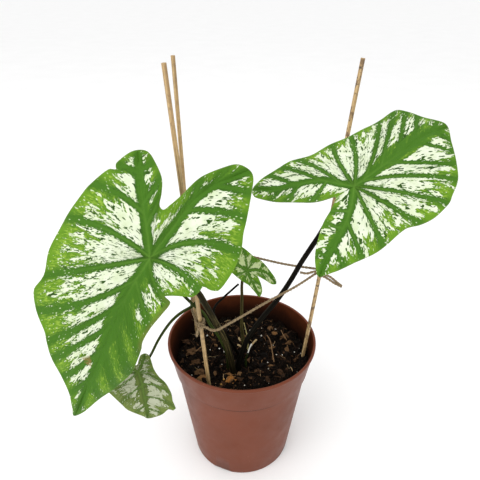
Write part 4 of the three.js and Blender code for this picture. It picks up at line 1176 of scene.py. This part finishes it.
def cane(turn):
    """The section of a skewer: nearly round, with flats and one split."""
    flats = 0.07 * abs(math.sin(2.5 * turn + 0.4)) ** 3
    return 1 - flats - 0.1 * math.exp(-((turn + 1.2) / 0.22) ** 2)


tip = STAKE["point"] / STAKE["length"]
for name, path in STAKES.items():
    rod = bmesh.new()
    swept(rod, path, lambda share: STAKE["radius"] * min(1, 0.2 + 0.8 * share / tip), 20, 3.5,
          section=cane)
    finish = bamboo(name + "_bamboo", 0.85 if name == "stake_right" else 0.25)
    made = piece(name + "_rod", rod, finish, "bamboo", sharp=50)
    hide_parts(name)

# Twine
# One length of two-ply jute, knotted at the front left stake, led round the other two stakes and in
# front of the stems, and knotted again at the right stake. Its ends are frayed, and short hairs stand
# off it.
TWINE = dict(radius=1, clear=0.35)
turn_radius = STAKE["radius"] + TWINE["clear"] + TWINE["radius"]


def on_stake(name, height):
    """The point on a stake's axis at a height, and the stake's direction there."""
    at = curve_through(STAKES[name])
    low, high = 0.0, 1.0
    for _ in range(30):
        half = (low + high) / 2
        if at(half)[2] < height:
            low = half
        else:
            high = half
    return Vector(at(low)), Vector(at(min(1, low + 0.01)) - at(max(0, low - 0.01))).normalized()


def ply(turn):
    """The section of two strands laid together."""
    return 0.68 + 0.34 * abs(math.cos(turn))


jute_thread = bmesh.new()
paths = []


def strand_along(points, thick=TWINE["radius"], sides=12, step=0.75):
    """One run of twine; its path is kept for the hairs."""
    swept(jute_thread, points, lambda share: thick, sides, step, twist=1.15, section=ply)
    paths.append(evenly(points, 1.0)[0])


def wrap(name, height, turns=1.15):
    """Twine wound once round a stake."""
    centre, along = on_stake(name, height)
    first = along.orthogonal().normalized()
    second = along.cross(first)
    line = []
    for k in range(round(14 * turns) + 1):
        angle = math.tau * k / 14
        spot = centre + turn_radius * (math.cos(angle) * first + math.sin(angle) * second)
        line.append(tuple(spot + along * (k / 14 / turns - 0.5) * 1.1))
    strand_along(line)


def knot(centre, tilt):
    """A tight overhand knot: the twine winds three times through its own loop."""
    line = []
    for k in range(31):
        angle = 2 * math.tau * k / 30
        round_part = 1.3 * (2 + math.cos(1.5 * angle)) * 0.5
        rise = 0.65 * math.sin(1.5 * angle)
        spot = Vector((round_part * math.cos(angle), round_part * math.sin(angle), rise))
        line.append(tuple(Vector(centre) + Matrix.Rotation(tilt, 3, "X") @ spot))
    strand_along(line, 0.85)


def by_stake(point, right, back, up):
    """A point off one on a stake's axis; back is counted from the front of the twine round it."""
    return (point.x + right, point.y - turn_radius + back, point.z + up)


left, _ = on_stake("stake_front_left", 158)
back, _ = on_stake("stake_back_left", 187)
right, _ = on_stake("stake_right", 174.6)
for name, height in (("stake_front_left", 157.2), ("stake_front_left", 159), ("stake_back_left", 187),
                     ("stake_right", 173.8), ("stake_right", 175.6)):
    wrap(name, height)
knot(by_stake(left, 0.4, -1.5, 0), 0.4)
knot(by_stake(right, 0.2, -1.5, 0), 0.9)
RUNS = [
    [by_stake(left, 1, -0.8, -0.3), (-24.5, -42.3, 157), (-21.5, -44.6, 156.8), (-17.5, -45.4, 157.4),
     (-11, -41.6, 158.6), (20, -22.6, 166), (40, -10.6, 170.2),
     (right.x - turn_radius, right.y - 1.6, right.z - 0.6)],
    [(right.x - 1.5, right.y + turn_radius - 0.4, right.z + 0.4), (35, 8.4, 177.6), (5, 15, 181.6),
     (-25, 22.6, 185.6), (back.x + 1.4, back.y + turn_radius, back.z)],
    [(back.x - turn_radius, back.y - 0.6, back.z), (-36.4, -6, 174), (-36.2, -27.5, 163.5),
     (left.x - turn_radius, left.y + 0.4, left.z + 0.8)],
]
TAILS = [
    (left, (0.4, -0.6, -0.5), (-1.8, -2, -4), (-2.6, -1.4, -9)),
    (right, (0, -1.2, 0), (-5, -3, 3.4), (-11, -2.6, 1.4), (-16, -2, 2)),
    (right, (0, -1.2, 0), (6, -3, -1), (11, -3.4, -5), (16, -3, -9.5)),
    (right, (0.5, -1.6, -1), (5.2, -3.4, -3), (10.4, -4, -6.6), (16, -3.2, -10.2)),
]
RUNS += [[by_stake(point, *offset) for offset in offsets] for point, *offsets in TAILS]
for run_points in RUNS:
    strand_along(run_points)

for path in paths:
    for _ in range(max(2, len(path) // 2)):
        at = Vector(path[chance.randrange(len(path))])
        lean = Vector([chance.gauss(0, 1) for _ in range(3)]).normalized()
        long = chance.uniform(1.4, 5.0)
        start = at + lean * 0.6
        curl = Vector([chance.gauss(0, 0.5) for _ in range(3)])
        hair = [start, start + lean * long * 0.5 + curl * 0.4, start + lean * long * 0.8 + curl]
        swept(jute_thread, hair, lambda share: 0.09 * (1.2 - share), 3, 1.2, capped=False)

jute, tree, shader, place = material("jute", Roughness=0.85, Specular_IOR_Level=0.2)
strand = attribute(tree, "strand")
lay = speckle(tree, strand, 3.2, 4, 0.6, stretch=(1, 1, 0.25))
paint(tree, shader, ramp(tree, lay, (0.3, linear(80, 63, 44)), (0.5, linear(138, 117, 88)),
                         (0.72, linear(186, 168, 136))))
relief(tree, shader, speckle(tree, place, 2600, 3, 0.6), 0.12)
twine = piece("twine_strands", jute_thread, jute, "jute", sharp=80)
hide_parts("twine")

boxes = {"model": model_box, "visual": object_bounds()}
{name: [[float(value) for value in corner] for corner in box] for name, box in boxes.items()}
